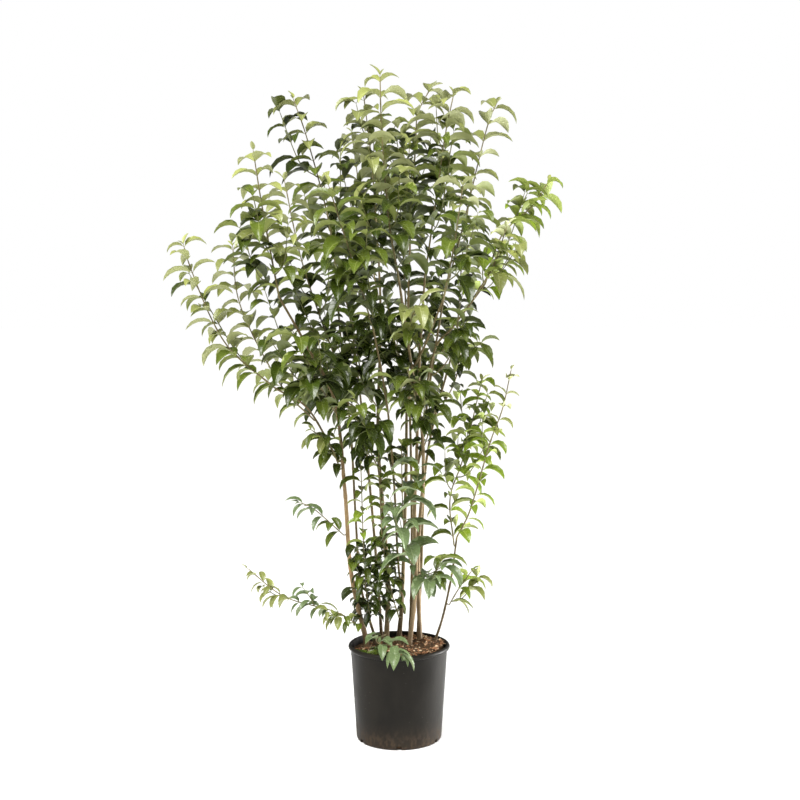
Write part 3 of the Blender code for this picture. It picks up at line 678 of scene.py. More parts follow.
def slab(length, width, thickness, turn, dice):
    """An uneven six-cornered slab: its corners below, then those above, as offsets from its middle."""
    corners = []
    for z in (-thickness / 2, thickness / 2):
        for i in range(CHIP_CORNERS):
            angle = 2 * math.pi * (i + 0.5) / CHIP_CORNERS
            corners.append(turn @ Vector((length / 2 * math.cos(angle) * dice.uniform(0.8, 1.15),
                                          width / 2 * math.sin(angle) * dice.uniform(0.75, 1.2),
                                          z * dice.uniform(0.6, 1.3))))
    return corners


def slab_faces(first):
    """A slab's faces, when its corners are numbered from `first`."""
    low = list(range(first, first + CHIP_CORNERS))
    high = [v + CHIP_CORNERS for v in low]
    sides = [(low[i], low[(i + 1) % CHIP_CORNERS], high[(i + 1) % CHIP_CORNERS], high[i])
             for i in range(CHIP_CORNERS)]
    return [tuple(reversed(low)), tuple(high), *sides]


print("chip: a slab with", CHIP_CORNERS, "corners and", len(slab_faces(0)), "faces")

# %% [markdown]
# ## Scattering the chips
# Chips and shreds lie every way on the compost, a few layers deep. Each is dropped at a seeded place, turned
# at random and tipped a little. All of one colour are joined into one mesh, which is quick and exports well.

# %% Bark chips
CHIP_SEED = 5
CHIP_COUNT = 1100
SHRED_COUNT = 420
CHIP_LENGTH = (0.004, 0.013)
CHIP_SLIMNESS = (0.4, 0.75)  # width as a share of the length
CHIP_THICKNESS = (0.0015, 0.0035)
SHRED_SIZE = ((0.012, 0.034), (0.0011, 0.0021), (0.0008, 0.0014))  # length, width and thickness
CHIP_MARGIN = 0.009
CHIP_TILT = 0.28
CHIP_LAYER = 0.0055

dice = random.Random(CHIP_SEED)
chips = {kind: ([], []) for kind in CHIPS}
chip_shares = [share for _, _, share in CHIPS.values()]
for i in range(CHIP_COUNT + SHRED_COUNT):
    kind = dice.choices(list(CHIPS), chip_shares)[0]
    reach = (SOIL_RADIUS - CHIP_MARGIN) * math.sqrt(dice.random())
    angle = dice.uniform(0, 2 * math.pi)
    x, y = reach * math.cos(angle), reach * math.sin(angle)
    if i < CHIP_COUNT:
        length = dice.uniform(*CHIP_LENGTH)
        size = (length, length * dice.uniform(*CHIP_SLIMNESS), dice.uniform(*CHIP_THICKNESS))
    else:
        size = [dice.uniform(*span) for span in SHRED_SIZE]
    tilt = Matrix.Rotation(dice.gauss(0, CHIP_TILT), 3, "X")
    tilt = tilt @ Matrix.Rotation(dice.gauss(0, CHIP_TILT), 3, "Y")
    turn = Matrix.Rotation(dice.uniform(0, math.pi), 3, "Z") @ tilt
    middle = Vector((x, y, soil_height(x, y) + dice.uniform(0.0, CHIP_LAYER)))
    points, faces = chips[kind]
    faces += slab_faces(len(points))
    points += [middle + corner for corner in slab(*size, turn, dice)]
chip_pieces = []
for kind, (points, faces) in chips.items():
    piece = array_piece("bark_chips_" + kind, points, faces, chip_materials[kind])
    piece.data.set_sharp_from_angle(angle=math.radians(40))
    chip_pieces.append(piece)
print("chips:", {piece.name: len(piece.data.polygons) for piece in chip_pieces})

# %% [markdown]
# ## The shrub's skeleton
# The canes and boughs are fixed by where they stand and bend, so their routes are the same points as the
# solids have, in metres. A smooth curve through them gives the centreline. Every mass of
# foliage continues a limb's tip or springs from its side by one main twig, whose route is given as well.

# %% Routes of canes, boughs and main twigs
GROUND = 0.2413  # the foot of the canes, 0.3 mm above the middle level of the mulch
# where a cane stands, its route, and its diameters at foot and tip
CANES = {
    "cane_west": ((-0.088, 0.030), [(-0.128, 0.026, 0.440), (-0.143, 0.000, 0.667), (-0.166, -0.050, 0.905),
                                    (-0.229, -0.100, 1.042), (-0.296, -0.150, 1.170)], 0.0132, 0.0056),
    "cane_northwest": ((-0.066, 0.068), [(-0.104, 0.070, 0.397), (-0.117, 0.070, 0.585),
                                         (-0.130, 0.080, 0.817), (-0.156, 0.100, 1.054),
                                         (-0.170, 0.110, 1.250)], 0.0072, 0.0050),
    "cane_middle": ((-0.034, 0.038), [(-0.030, 0.050, 0.401), (-0.042, 0.070, 0.585), (-0.057, 0.100, 0.800),
                                      (-0.050, 0.150, 1.100), (-0.055, 0.170, 1.270)], 0.0138, 0.0054),
    "cane_north": ((-0.001, 0.078), [(0.008, 0.090, 0.356), (0.018, 0.100, 0.651), (0.021, 0.120, 0.903),
                                     (0.024, 0.130, 1.120), (0.030, 0.135, 1.330)], 0.0112, 0.0050),
    "cane_east": ((0.056, 0.050), [(0.051, 0.030, 0.500), (0.063, -0.020, 0.692), (0.059, -0.060, 0.834),
                                   (0.034, -0.112, 0.985), (0.000, -0.180, 1.216)], 0.0124, 0.0058),
    "cane_south": ((0.028, 0.004), [(0.044, 0.000, 0.412), (0.041, 0.000, 0.620), (0.046, -0.004, 0.749),
                                    (0.053, -0.010, 1.000), (0.066, -0.030, 1.218)], 0.0120, 0.0054),
    "cane_far_east": ((0.097, 0.030), [(0.118, 0.034, 0.320), (0.140, 0.020, 0.432), (0.152, 0.000, 0.533)],
                      0.0066, 0.0046),
    "cane_slim": ((0.002, 0.022), [(0.008, 0.004, 0.356), (-0.004, -0.020, 0.500), (-0.012, -0.060, 0.680),
                                   (-0.030, -0.120, 0.900), (-0.062, -0.190, 1.090)], 0.0066, 0.0048),
    "cane_north_northwest": ((-0.048, 0.088), [(-0.062, 0.120, 0.450), (-0.090, 0.170, 0.750),
                                               (-0.130, 0.245, 1.080)], 0.0086, 0.0050),
    "cane_far_north": ((0.030, 0.096), [(0.036, 0.130, 0.450), (0.032, 0.190, 0.780), (0.020, 0.275, 1.120)],
                       0.0094, 0.0050),
    "cane_northeast": ((0.052, 0.094), [(0.060, 0.120, 0.420), (0.078, 0.165, 0.740), (0.160, 0.235, 1.060)],
                       0.0090, 0.0050),
}
# a bough's limb and the share of its length where it starts, its route, and its diameters at root and tip
BOUGHS = {
    "bough_far_west": ("cane_west", 0.52, [(-0.235, -0.040, 0.884), (-0.314, -0.060, 0.938)], 0.0062, 0.0046),
    "bough_southeast": ("cane_east", 0.66, [(0.093, -0.090, 1.046), (0.133, -0.100, 1.095),
                                            (0.212, -0.120, 1.203)], 0.0064, 0.0048),
    "bough_east": ("cane_south", 0.51, [(0.065, 0.022, 0.823), (0.086, 0.050, 0.975), (0.118, 0.075, 1.165)],
                   0.0066, 0.0050),
    "bough_south": ("cane_east", 0.78, [(0.066, -0.165, 1.060), (0.105, -0.235, 1.165)], 0.0062, 0.0046),
}
# a mass's limb and the share of its length where it starts, its main twig's route and diameter, how many
# sprays it has, the scale of its leaves, their tints from root to tip, and its habit of growth
# tints run from root to tip: the dark ones inside the crown are painted shade, the pale ones at the lit tips
# painted light
Mass = namedtuple("Mass", "limb share route thick sprays scale tints habit")
MASSES = {
    "leader_far_west": Mass(
        "bough_far_west", 1.0, [(-0.424, -0.090, 1.035), (-0.478, -0.100, 1.125), (-0.529, -0.100, 1.254),
        (-0.545, -0.100, 1.310)],
        0.0044, 1, 0.90, "mid light young", "leader"),
    "leader_west_inner": Mass(
        "bough_far_west", 0.5, [(-0.312, 0.008, 0.946), (-0.419, 0.050, 1.149), (-0.440, 0.060, 1.310)],
        0.0042, 2, 0.90, "mid light light", "leader"),
    "leader_west": Mass(
        "cane_west", 1.0, [(-0.335, -0.190, 1.392), (-0.356, -0.200, 1.535)],
        0.0052, 4, 0.95, "mid light young", "bushy"),
    "leader_west_middle": Mass(
        "cane_northwest", 0.72, [(-0.215, 0.070, 1.135), (-0.262, 0.050, 1.290), (-0.300, 0.035, 1.480)],
        0.0046, 4, 1.00, "deep deep mid light", "bushy"),
    "leader_northwest": Mass(
        "cane_northwest", 1.0, [(-0.194, 0.120, 1.402), (-0.246, 0.125, 1.596), (-0.282, 0.120, 1.700)],
        0.0048, 4, 1.00, "deep mid light", "leader"),
    "leader_middle": Mass(
        "cane_middle", 1.0, [(-0.075, 0.200, 1.540), (-0.097, 0.200, 1.725)],
        0.0050, 4, 1.00, "shade deep mid light light", "broad"),
    "leader_back_left": Mass(
        "cane_middle", 0.9, [(-0.100, 0.260, 1.400), (-0.132, 0.290, 1.630)],
        0.0044, 3, 1.00, "shade deep mid light", "bushy"),
    "leader_north": Mass(
        "cane_north", 1.0, [(0.044, 0.130, 1.576), (0.050, 0.130, 1.660), (0.085, 0.130, 1.730)],
        0.0048, 4, 1.00, "shade deep mid light light", "bushy"),
    "leader_front": Mass(
        "cane_east", 1.0, [(-0.026, -0.212, 1.371), (-0.042, -0.220, 1.580), (-0.046, -0.222, 1.712)],
        0.0054, 5, 1.00, "deep mid light light young", "bushy"),
    "leader_right": Mass(
        "cane_south", 1.0, [(0.097, -0.050, 1.440), (0.117, -0.050, 1.583), (0.139, -0.050, 1.690)],
        0.0050, 4, 1.00, "deep deep mid light light", "broad"),
    "leader_east": Mass(
        "bough_east", 1.0, [(0.168, 0.080, 1.354), (0.229, 0.060, 1.611), (0.256, 0.050, 1.680)],
        0.0048, 4, 1.00, "deep deep mid light light", "airy"),
    "leader_far_east": Mass(
        "bough_southeast", 1.0, [(0.258, -0.118, 1.330), (0.336, -0.100, 1.404), (0.380, -0.080, 1.470)],
        0.0046, 4, 0.95, "mid lime lime", "leader"),
    "leader_southeast": Mass(
        "bough_southeast", 0.9, [(0.235, -0.165, 1.255), (0.264, -0.200, 1.350)],
        0.0042, 3, 0.95, "lime light young", "bushy"),
    "leader_southwest": Mass(
        "cane_slim", 1.0, [(-0.110, -0.290, 1.260), (-0.165, -0.345, 1.440)],
        0.0046, 4, 1.00, "deep mid mid", "bushy"),
    "leader_south": Mass(
        "bough_south", 1.0, [(0.130, -0.285, 1.290), (0.150, -0.330, 1.440)],
        0.0044, 3, 1.00, "deep mid mid light", "airy"),
    "leader_back_west": Mass(
        "cane_north_northwest", 1.0, [(-0.180, 0.320, 1.300), (-0.215, 0.360, 1.500)],
        0.0048, 4, 1.00, "shade deep mid light", "leader"),
    "leader_back": Mass(
        "cane_far_north", 1.0, [(0.012, 0.350, 1.340), (0.030, 0.385, 1.600)],
        0.0048, 4, 1.00, "shade deep mid light", "leader"),
    "leader_back_east": Mass(
        "cane_northeast", 1.0, [(0.178, 0.300, 1.280), (0.206, 0.330, 1.500)],
        0.0048, 4, 1.00, "shade deep mid light", "airy"),
    "leader_low_east": Mass(
        "cane_far_east", 1.0, [(0.188, -0.020, 0.620), (0.235, -0.050, 0.795), (0.268, -0.050, 0.887),
        (0.290, -0.050, 0.990)],
        0.0044, 3, 0.75, "lime lime young", "shoot"),
    "leader_low_northeast": Mass(
        "cane_far_east", 0.94, [(0.136, 0.035, 0.640), (0.172, 0.060, 0.745), (0.223, 0.100, 0.950)],
        0.0040, 3, 0.80, "mid lime lime", "bush"),
    "crown_west_front": Mass(
        "cane_west", 0.66, [(-0.215, -0.150, 0.985), (-0.262, -0.235, 1.100)],
        0.0040, 3, 1.00, "deep mid", "crown"),
    "crown_west_low": Mass(
        "cane_west", 0.5, [(-0.182, -0.065, 0.800), (-0.225, -0.115, 0.840)],
        0.0036, 3, 0.90, "deep mid", "skirt"),
    "crown_inner_left": Mass(
        "cane_middle", 0.62, [(-0.095, 0.045, 0.950), (-0.125, -0.010, 1.130)],
        0.0040, 4, 1.00, "deep deep", "crown"),
    "crown_back_left": Mass(
        "cane_north_northwest", 0.74, [(-0.165, 0.225, 0.900), (-0.240, 0.270, 1.010)],
        0.0040, 3, 1.00, "shade deep mid", "crown"),
    "crown_back": Mass(
        "cane_far_north", 0.74, [(0.045, 0.290, 0.925), (0.060, 0.350, 1.040)],
        0.0040, 3, 1.00, "shade deep mid", "crown"),
    "crown_back_right": Mass(
        "cane_northeast", 0.76, [(0.158, 0.205, 0.950), (0.178, 0.230, 1.090)],
        0.0040, 3, 1.00, "shade deep mid", "sparse"),
    "crown_inner_right": Mass(
        "cane_north", 0.72, [(0.075, 0.165, 1.080), (0.115, 0.190, 1.250)],
        0.0040, 3, 1.00, "shade deep", "crown"),
    "crown_east": Mass(
        "bough_east", 0.55, [(0.130, 0.035, 1.010), (0.160, 0.020, 1.095)],
        0.0040, 3, 1.00, "deep mid", "sparse"),
    "crown_southeast": Mass(
        "bough_southeast", 0.42, [(0.140, -0.155, 1.065), (0.145, -0.210, 1.135)],
        0.0038, 3, 1.00, "deep mid", "skirt"),
    "crown_front_young": Mass(
        "cane_east", 0.84, [(0.030, -0.240, 1.125), (0.052, -0.300, 1.165)],
        0.0038, 3, 0.90, "mid light light", "crown"),
    "crown_front_low": Mass(
        "cane_slim", 0.7, [(-0.060, -0.160, 0.850), (-0.110, -0.230, 0.930)],
        0.0038, 4, 1.00, "deep mid", "skirt"),
    "crown_middle": Mass(
        "cane_south", 0.72, [(0.000, -0.055, 1.020), (-0.030, -0.080, 1.160)],
        0.0040, 4, 1.00, "shade deep", "crown"),
    "crown_front_middle": Mass(
        "cane_east", 0.6, [(0.045, -0.130, 0.905), (0.020, -0.215, 1.000)],
        0.0040, 4, 1.00, "deep mid", "skirt"),
    "crown_front_right": Mass(
        "cane_south", 0.52, [(0.085, -0.055, 0.850), (0.100, -0.115, 0.945)],
        0.0038, 3, 1.00, "deep mid", "sparse"),
    "crown_low_left": Mass(
        "cane_middle", 0.46, [(-0.085, 0.010, 0.790), (-0.115, -0.070, 0.880)],
        0.0036, 3, 0.95, "deep mid", "skirt"),
    "spray_low_west": Mass(
        "cane_west", 0.06, [(-0.165, -0.052, 0.352), (-0.297, -0.080, 0.399), (-0.394, -0.090, 0.478)],
        0.0036, 2, 0.50, "mid sage light", "spray"),
    "spray_mid_west": Mass(
        "cane_west", 0.315, [(-0.224, -0.030, 0.622), (-0.262, -0.040, 0.640)],
        0.0030, 0, 0.65, "mid sage", "spray"),
    "spray_waist_front": Mass(
        "cane_south", 0.22, [(0.022, -0.050, 0.510), (0.010, -0.085, 0.620), (0.006, -0.098, 0.800)],
        0.0034, 3, 0.95, "sage sage mid", "spray"),
    "spray_waist_right": Mass(
        "cane_east", 0.2, [(0.085, -0.035, 0.440), (0.112, -0.070, 0.500)],
        0.0034, 2, 0.88, "sage sage mid", "spray"),
    "spray_low_right": Mass(
        "cane_far_east", 0.4, [(0.160, 0.015, 0.400), (0.195, -0.005, 0.455)],
        0.0032, 2, 0.80, "mid lime", "spray"),
    "spray_foot_left": Mass(
        "cane_northwest", 0.06, [(-0.084, 0.022, 0.360), (-0.092, -0.008, 0.470), (-0.100, -0.024, 0.740)],
        0.0034, 5, 0.60, "shade deep lime mid", "thicket"),
    "spray_foot_middle": Mass(
        "cane_slim", 0.1, [(-0.022, -0.030, 0.410), (-0.045, -0.045, 0.560), (-0.053, -0.060, 0.780)],
        0.0034, 5, 0.50, "shade deep mid mid", "thicket"),
    "spray_rim": Mass(
        "cane_middle", 0.03, [(-0.060, -0.030, 0.274), (-0.050, -0.088, 0.276), (-0.012, -0.126, 0.281),
        (0.006, -0.150, 0.262)],
        0.0034, 1, 0.80, "sage sage", "trailer"),
}
print("routes:", len(CANES), "canes,", len(BOUGHS), "boughs,", len(MASSES), "main twigs")

# %% [markdown]
# ## Curves through the routes
# A Catmull-Rom curve passes through each point of a route and bends evenly between them. It is then stepped
# off at even lengths. Radii fall evenly along a limb, and at the foot of a cane they flare out.

# %% Centrelines of the limbs
COLLAR = 0.008  # the straight start of a bough or twig
ROOT_OFFSET = 0.6  # how far out of its limb's middle that start is, in radii of the limb
FOOT_DEPTH = 0.004
STRAIGHT_FOOT = 0.016
FLARE = 1.55
FLARE_HEIGHT = 0.035
LIMB_STEP = 0.012


def smooth_path(points, step):
    """A Catmull-Rom curve through points, as points about a step apart."""
    ends = [2 * points[0] - points[1], *points, 2 * points[-1] - points[-2]]
    path = []
    for before, start, end, after in zip(ends, ends[1:], ends[2:], ends[3:]):
        count = max(1, round((end - start).length / step))
        for i in range(count):
            t = i / count
            path.append(0.5 * (2 * start + (end - before) * t
                               + (2 * before - 5 * start + 4 * end - after) * t ** 2
                               + (3 * (start - end) + after - before) * t ** 3))
    path.append(points[-1].copy())
    return path


def lengths_along(path):
    """The distance from the path's start to each of its points."""
    steps = [(end - start).length for start, end in zip(path, path[1:])]
    return [0.0, *np.cumsum(steps).tolist()]


def point_at(path, distance):
    """The point and the direction at a distance along a path."""
    reached = lengths_along(path)
    i = min(int(np.searchsorted(reached, distance, side="right")), len(path) - 1)
    share = min(1.0, max(0.0, (distance - reached[i - 1]) / max(reached[i] - reached[i - 1], 1e-9)))
    return path[i - 1].lerp(path[i], share), (path[i] - path[i - 1]).normalized()


def resampled(path, step):
    """The same path in even steps."""
    length = lengths_along(path)[-1]
    count = max(2, round(length / step))
    return [point_at(path, length * i / count)[0] for i in range(count + 1)]


def tapered(path, thick, thin, flare=1.0):
    """Radii along a path from the diameters at its ends, with a flare at its foot."""
    reached = lengths_along(path)
    return [(thick + (thin - thick) * d / reached[-1]) / 2
            * (1 + (flare - 1) * math.exp(-2 * d / FLARE_HEIGHT)) for d in reached]


def branch_path(limb, share, route, step):
    """From a limb's tip or side through a route, square to the limb at first."""
    path, radii = limb
    reached = lengths_along(path)
    start, ahead = point_at(path, share * reached[-1])
    out = ahead
    offset = 0.0
    if share < 1.0:
        out = route[0] - start
        out = (out - out.dot(ahead) * ahead).normalized()
        offset = ROOT_OFFSET * float(np.interp(share * reached[-1], reached, radii))
    root = start + out * offset
    points = [root + out * COLLAR, *route]
    return [root, *resampled(smooth_path(points, step), step)]


limbs = {}
for name, (foot, route, thick, thin) in CANES.items():
    base = Vector((*foot, GROUND - FOOT_DEPTH))
    points = [base, base + Vector((0, 0, STRAIGHT_FOOT)), *map(Vector, route)]
    path = resampled(smooth_path(points, LIMB_STEP), LIMB_STEP)
    limbs[name] = (path, tapered(path, thick, thin, FLARE))
for name, (parent, share, route, thick, thin) in BOUGHS.items():
    path = branch_path(limbs[parent], share, [Vector(p) for p in route], LIMB_STEP)
    limbs[name] = (path, tapered(path, thick, thin))
print("limbs:", {name: round(lengths_along(path)[-1], 2) for name, (path, _) in limbs.items()})

# %% [markdown]
# ## Canes and boughs with bark relief
# A cane is not a plain tube: it swells at each old leaf joint, where two scars face each other, and its bark
# is a little uneven. The swelling is the curve's own radius at each point. The curve gets a round bevel and
# is converted to a mesh, and a Displace modifier with a cloud texture roughens the bark before it is applied.

# %% Limb mesh
JOINT_SPACING = 0.062
JOINT_SWELL = 0.16
JOINT_WIDTH = 0.20  # share of the spacing that is swollen
BARK_RELIEF = 0.0011

bark_cloud = bpy.data.textures.new("bark_cloud", "CLOUDS")
bark_cloud.noise_scale = 0.011
bark_cloud.noise_depth = 2


def joint_swell(distance):
    """How much thicker a limb is near its leaf joints."""
    near = abs((distance / JOINT_SPACING) % 1.0 - 0.5) * 2
    return 1 + JOINT_SWELL * max(0.0, (near - (1 - JOINT_WIDTH)) / JOINT_WIDTH) ** 1.5


def limb_mesh(name, path, radii):
    """A limb as a bevelled curve, converted to a mesh and roughened."""
    bpy.ops.object.select_all(action="DESELECT")
    bpy.ops.curve.primitive_bezier_curve_add(location=(0, 0, 0))
    limb = bpy.context.object
    limb.name = name
    limb.data.splines.clear()
    spline = limb.data.splines.new("POLY")
    spline.points.add(len(path) - 1)
    for knot, point, radius, distance in zip(spline.points, path, radii, lengths_along(path)):
        knot.co = (*point, 1)
        knot.radius = radius * joint_swell(distance)
    limb.data.bevel_depth = 1.0
    limb.data.bevel_resolution = 3
    limb.data.use_fill_caps = True
    bpy.ops.object.convert(target="MESH")
    limb = bpy.context.object
    relief = limb.modifiers.new("bark", "DISPLACE")
    relief.texture = bark_cloud
    relief.texture_coords = "LOCAL"
    relief.strength = BARK_RELIEF
    relief.mid_level = 0.5
    bpy.ops.object.modifier_apply(modifier="bark")
    return limb


print("bark: joints every", JOINT_SPACING, "m, relief", BARK_RELIEF, "m")

# %% [markdown]
# ## Canes lit and shaded by their bark
# The three canes that stand in the light are given paler bark than those within the clump, as painted light,
# and the others brown bark, as painted shade. Canes of a tone are joined into one piece with one bark
# material, and the four boughs into another, of the brown bark. A cane gets a piece more at its foot, so that
# it stands in the compost and not on it.

# %% Canes and boughs
ROOT_DEPTH = 0.016
# the canes in the light get paler bark as painted light; all others are brown, as painted shade
PAINTED_LIGHT_CANES = {"cane_west": "tan", "cane_east": "pale", "cane_south": "pale"}


def joined(name, parts, material):
    """Limbs joined into one piece, finished and given their bark."""
    bpy.ops.object.select_all(action="DESELECT")
    for part in parts:
        part.select_set(True)
    bpy.context.view_layer.objects.active = parts[0]
    bpy.ops.object.join()
    whole = bpy.context.object
    whole.name = name
    finish_mesh(whole, 50.0)
    set_material(whole, material)
    return whole


def rooted(path, radii):
    """A cane's path and radii with a piece more at its foot."""
    return [path[0] - Vector((0, 0, ROOT_DEPTH)), *path], [radii[0], *radii]


cane_pieces = []
for tone, material in bark_materials.items():
    names = [name for name in CANES if PAINTED_LIGHT_CANES.get(name, "brown") == tone]
    parts = [limb_mesh(name, *rooted(*limbs[name])) for name in names]
    cane_pieces.append((joined("canes_" + tone, parts, material), names))
boughs = joined("boughs", [limb_mesh(name, *limbs[name]) for name in BOUGHS], bark_materials["brown"])
print("canes:", {piece.name: len(names) for piece, names in cane_pieces}, "and", len(BOUGHS), "boughs")

# %% [markdown]
# ## Room to grow
# A leaf or spray has to keep clear of the canes and of the pot, and within the reach of its own mass. That
# reach is the box of the solid which it stands for, with a little slack. So the crown keeps its outline and
# its gaps. A KD tree holds the points of all limbs and finds the nearest one at once, which is far quicker
# than asking each mesh.

# %% Reach and clearance
REACH_SLACK = 0.012
LIMB_CLEARANCE = 0.003
POT_CLEARANCE = 0.003

wood_points = [(point, radius) for path, radii in limbs.values() for point, radius in zip(path, radii)]
wood = kdtree.KDTree(len(wood_points))
for i, (point, _) in enumerate(wood_points):
    wood.insert(point, i)
wood.balance()


def clear_of_wood(point):
    """Whether a point keeps clear of the nearest cane or bough."""
    _, index, distance = wood.find(point)
    return distance > wood_points[index][1] + LIMB_CLEARANCE


def in_reach(point, box):
    """Whether a point is in its mass's box, and beside or above the pot."""
    low, high = box
    inside = all(low[k] - REACH_SLACK < point[k] < high[k] + REACH_SLACK for k in range(3))
    beside = math.hypot(point.x, point.y) > RIM_RADIUS + POT_CLEARANCE
    return inside and (beside or point.z > POT_HEIGHT + POT_CLEARANCE)


def has_room(points, box):
    return all(in_reach(point, box) and clear_of_wood(point) for point in points)


print("wood:", len(wood_points), "points to keep clear of")

# %% [markdown]
# ## A leaf in numbers
# A privet leaf rises from its twig and arches over until its tip hangs. Copies of one modelled leaf would all
# have the same arch, so each leaf is kept as a few numbers instead: its root, its heading, how steeply it
# rises, how far it bends over, its length and half its width, how far its halves fold up, and how it rolls
# and curls. Its mesh is worked out from them at the end. Until then the numbers also tell where the leaf will
# lie, so that it can be tested for room.

# %% A leaf's numbers
LEAF_LENGTH = 0.094
LEAF_WIDTH = 0.042
LEAF_BEND = math.radians(100)
STEEPEST = math.radians(-82)
BEND_RANGE = (0.75, 1.2)
WIDTH_RANGE = (0.9, 1.1)
LEAF_FOLD = (14, 36)
LEAF_ROLL = 0.6
LEAF_CURL = 0.45
REACH_SHARES = (0.2, 0.6, 0.9)
REACH_STEP = 0.33  # of the length, from one tested point to the next


class Leaf:
    """The numbers of one leaf, and where its middle and its tip come to lie."""

    def __init__(self, root, out, scale, dice, upright=0.0):
        self.root = root
        self.yaw = math.atan2(out.y, out.x)
        self.rise = math.asin(max(-1.0, min(1.0, out.z)))
        self.bend = min(LEAF_BEND * dice.uniform(*BEND_RANGE), self.rise - STEEPEST) * (1 - upright)
        self.length = LEAF_LENGTH * scale
        self.half = LEAF_WIDTH * scale / 2 * dice.uniform(*WIDTH_RANGE)
        self.fold = math.radians(dice.uniform(*LEAF_FOLD))
        self.roll = dice.uniform(-LEAF_ROLL, LEAF_ROLL)
        self.curl = dice.uniform(-LEAF_CURL, LEAF_CURL)

    def reach_points(self):
        found, point = [], self.root
        for share in REACH_SHARES:
            pitch = self.rise - self.bend * share
            heading = self.yaw + self.curl * share
            level = math.cos(pitch)
            ahead = Vector((level * math.cos(heading), level * math.sin(heading), math.sin(pitch)))
            point = point + ahead * self.length * REACH_STEP
            found.append(point)
        return found


print("a leaf:", LEAF_LENGTH, "m long and", LEAF_WIDTH, "m wide at scale 1")

# %% [markdown]
# ## Pairs, sprays and buds
# Privet leaves stand in pairs, and each pair is turned a quarter against the last. A side spray leaves its
# twig aslant and turns up towards the light. At a twig's end, two small leaves are still folded upright. A
# leaf that has no room is tried smaller and then left out.

# %% Pairs, sprays and buds
INTERNODE = 0.036
SPRAY_INTERNODE = 0.038
LEAF_LIFT = math.radians(46)
TURN_JITTER, LIFT_JITTER = 0.3, 0.15
SIZE_RANGE = (0.75, 1.15)
BUD_SIZE = (0.14, 0.42)
BUD_UPRIGHT = 0.6
LEAF_TRIES = (1.0, 0.75, 0.55)
TWIG_STEP = 0.014


def square_to(ahead):
    """A direction square to a twig's own."""
    return ahead.cross(Vector((0, 1, 0.02))).normalized()


def leaf_pairs(path, first, last, internode, scale, box, dice, shrink):
    """Crossed pairs along a twig, smaller towards its tip, as (share of the way, leaf)."""
    leaves = []
    turn = dice.uniform(0, math.pi)
    count = max(1, round((last - first) / internode))
    for i in range(count + 1):
        share = i / count
        point, ahead = point_at(path, first + (last - first) * share)
        turn += math.radians(90) + dice.uniform(-TURN_JITTER, TURN_JITTER)
        for half_turn in (0.0, math.pi):
            lift = LEAF_LIFT + dice.uniform(-LIFT_JITTER, LIFT_JITTER)
            square = Matrix.Rotation(turn + half_turn, 3, ahead) @ square_to(ahead)
            out = (square * math.cos(lift) + ahead * math.sin(lift)).normalized()
            size = scale * (1.0 - shrink * share ** 2) * dice.uniform(*SIZE_RANGE)
            for smaller in LEAF_TRIES:
                leaf = Leaf(point, out, size * smaller, dice)
                if has_room(leaf.reach_points(), box):
                    leaves.append((share, leaf))
                    break
    return leaves


def spray_path(path, distance, turn, length, lift):
    """A side spray's path: aslant from its twig at first, then turning up."""
    start, ahead = point_at(path, distance)
    out = (Matrix.Rotation(turn, 3, ahead) @ square_to(ahead) + lift * ahead).normalized()
    middle = start + out * length * 0.3
    upward = (out * 0.45 + ahead * 0.55 + Vector((0, 0, 0.45))).normalized()
    return resampled(smooth_path([start, middle, middle + upward * length * 0.7], TWIG_STEP), TWIG_STEP)


def tip_bud(path, scale, dice):
    """Two small leaves that are still folded upright at a twig's end."""
    ahead = (path[-1] - path[-2]).normalized()
    turn = dice.uniform(0, math.pi)
    buds = []
    for half_turn in (0.0, math.pi):
        out = (Matrix.Rotation(turn + half_turn, 3, ahead) @ square_to(ahead) * 0.45 + ahead).normalized()
        size = scale * dice.uniform(*BUD_SIZE)
        buds.append(Leaf(path[-1] - ahead * 0.002, out, size, dice, upright=BUD_UPRIGHT))
    return buds


print("pairs: every", INTERNODE, "m on a main twig and", SPRAY_INTERNODE, "m on a spray at scale 1")

# %% [markdown]
# ## Habits of growth
# A leader in full light makes a few long sprays, a mass in the shaded skirt many short ones with small
# leaves, and a thicket at the foot is dense low down. One rule grows them all, and a habit is the row of
# numbers that it goes by. Tints are dealt out with luck: a spray or a leaf is now and then one step darker or
# lighter than its neighbours.

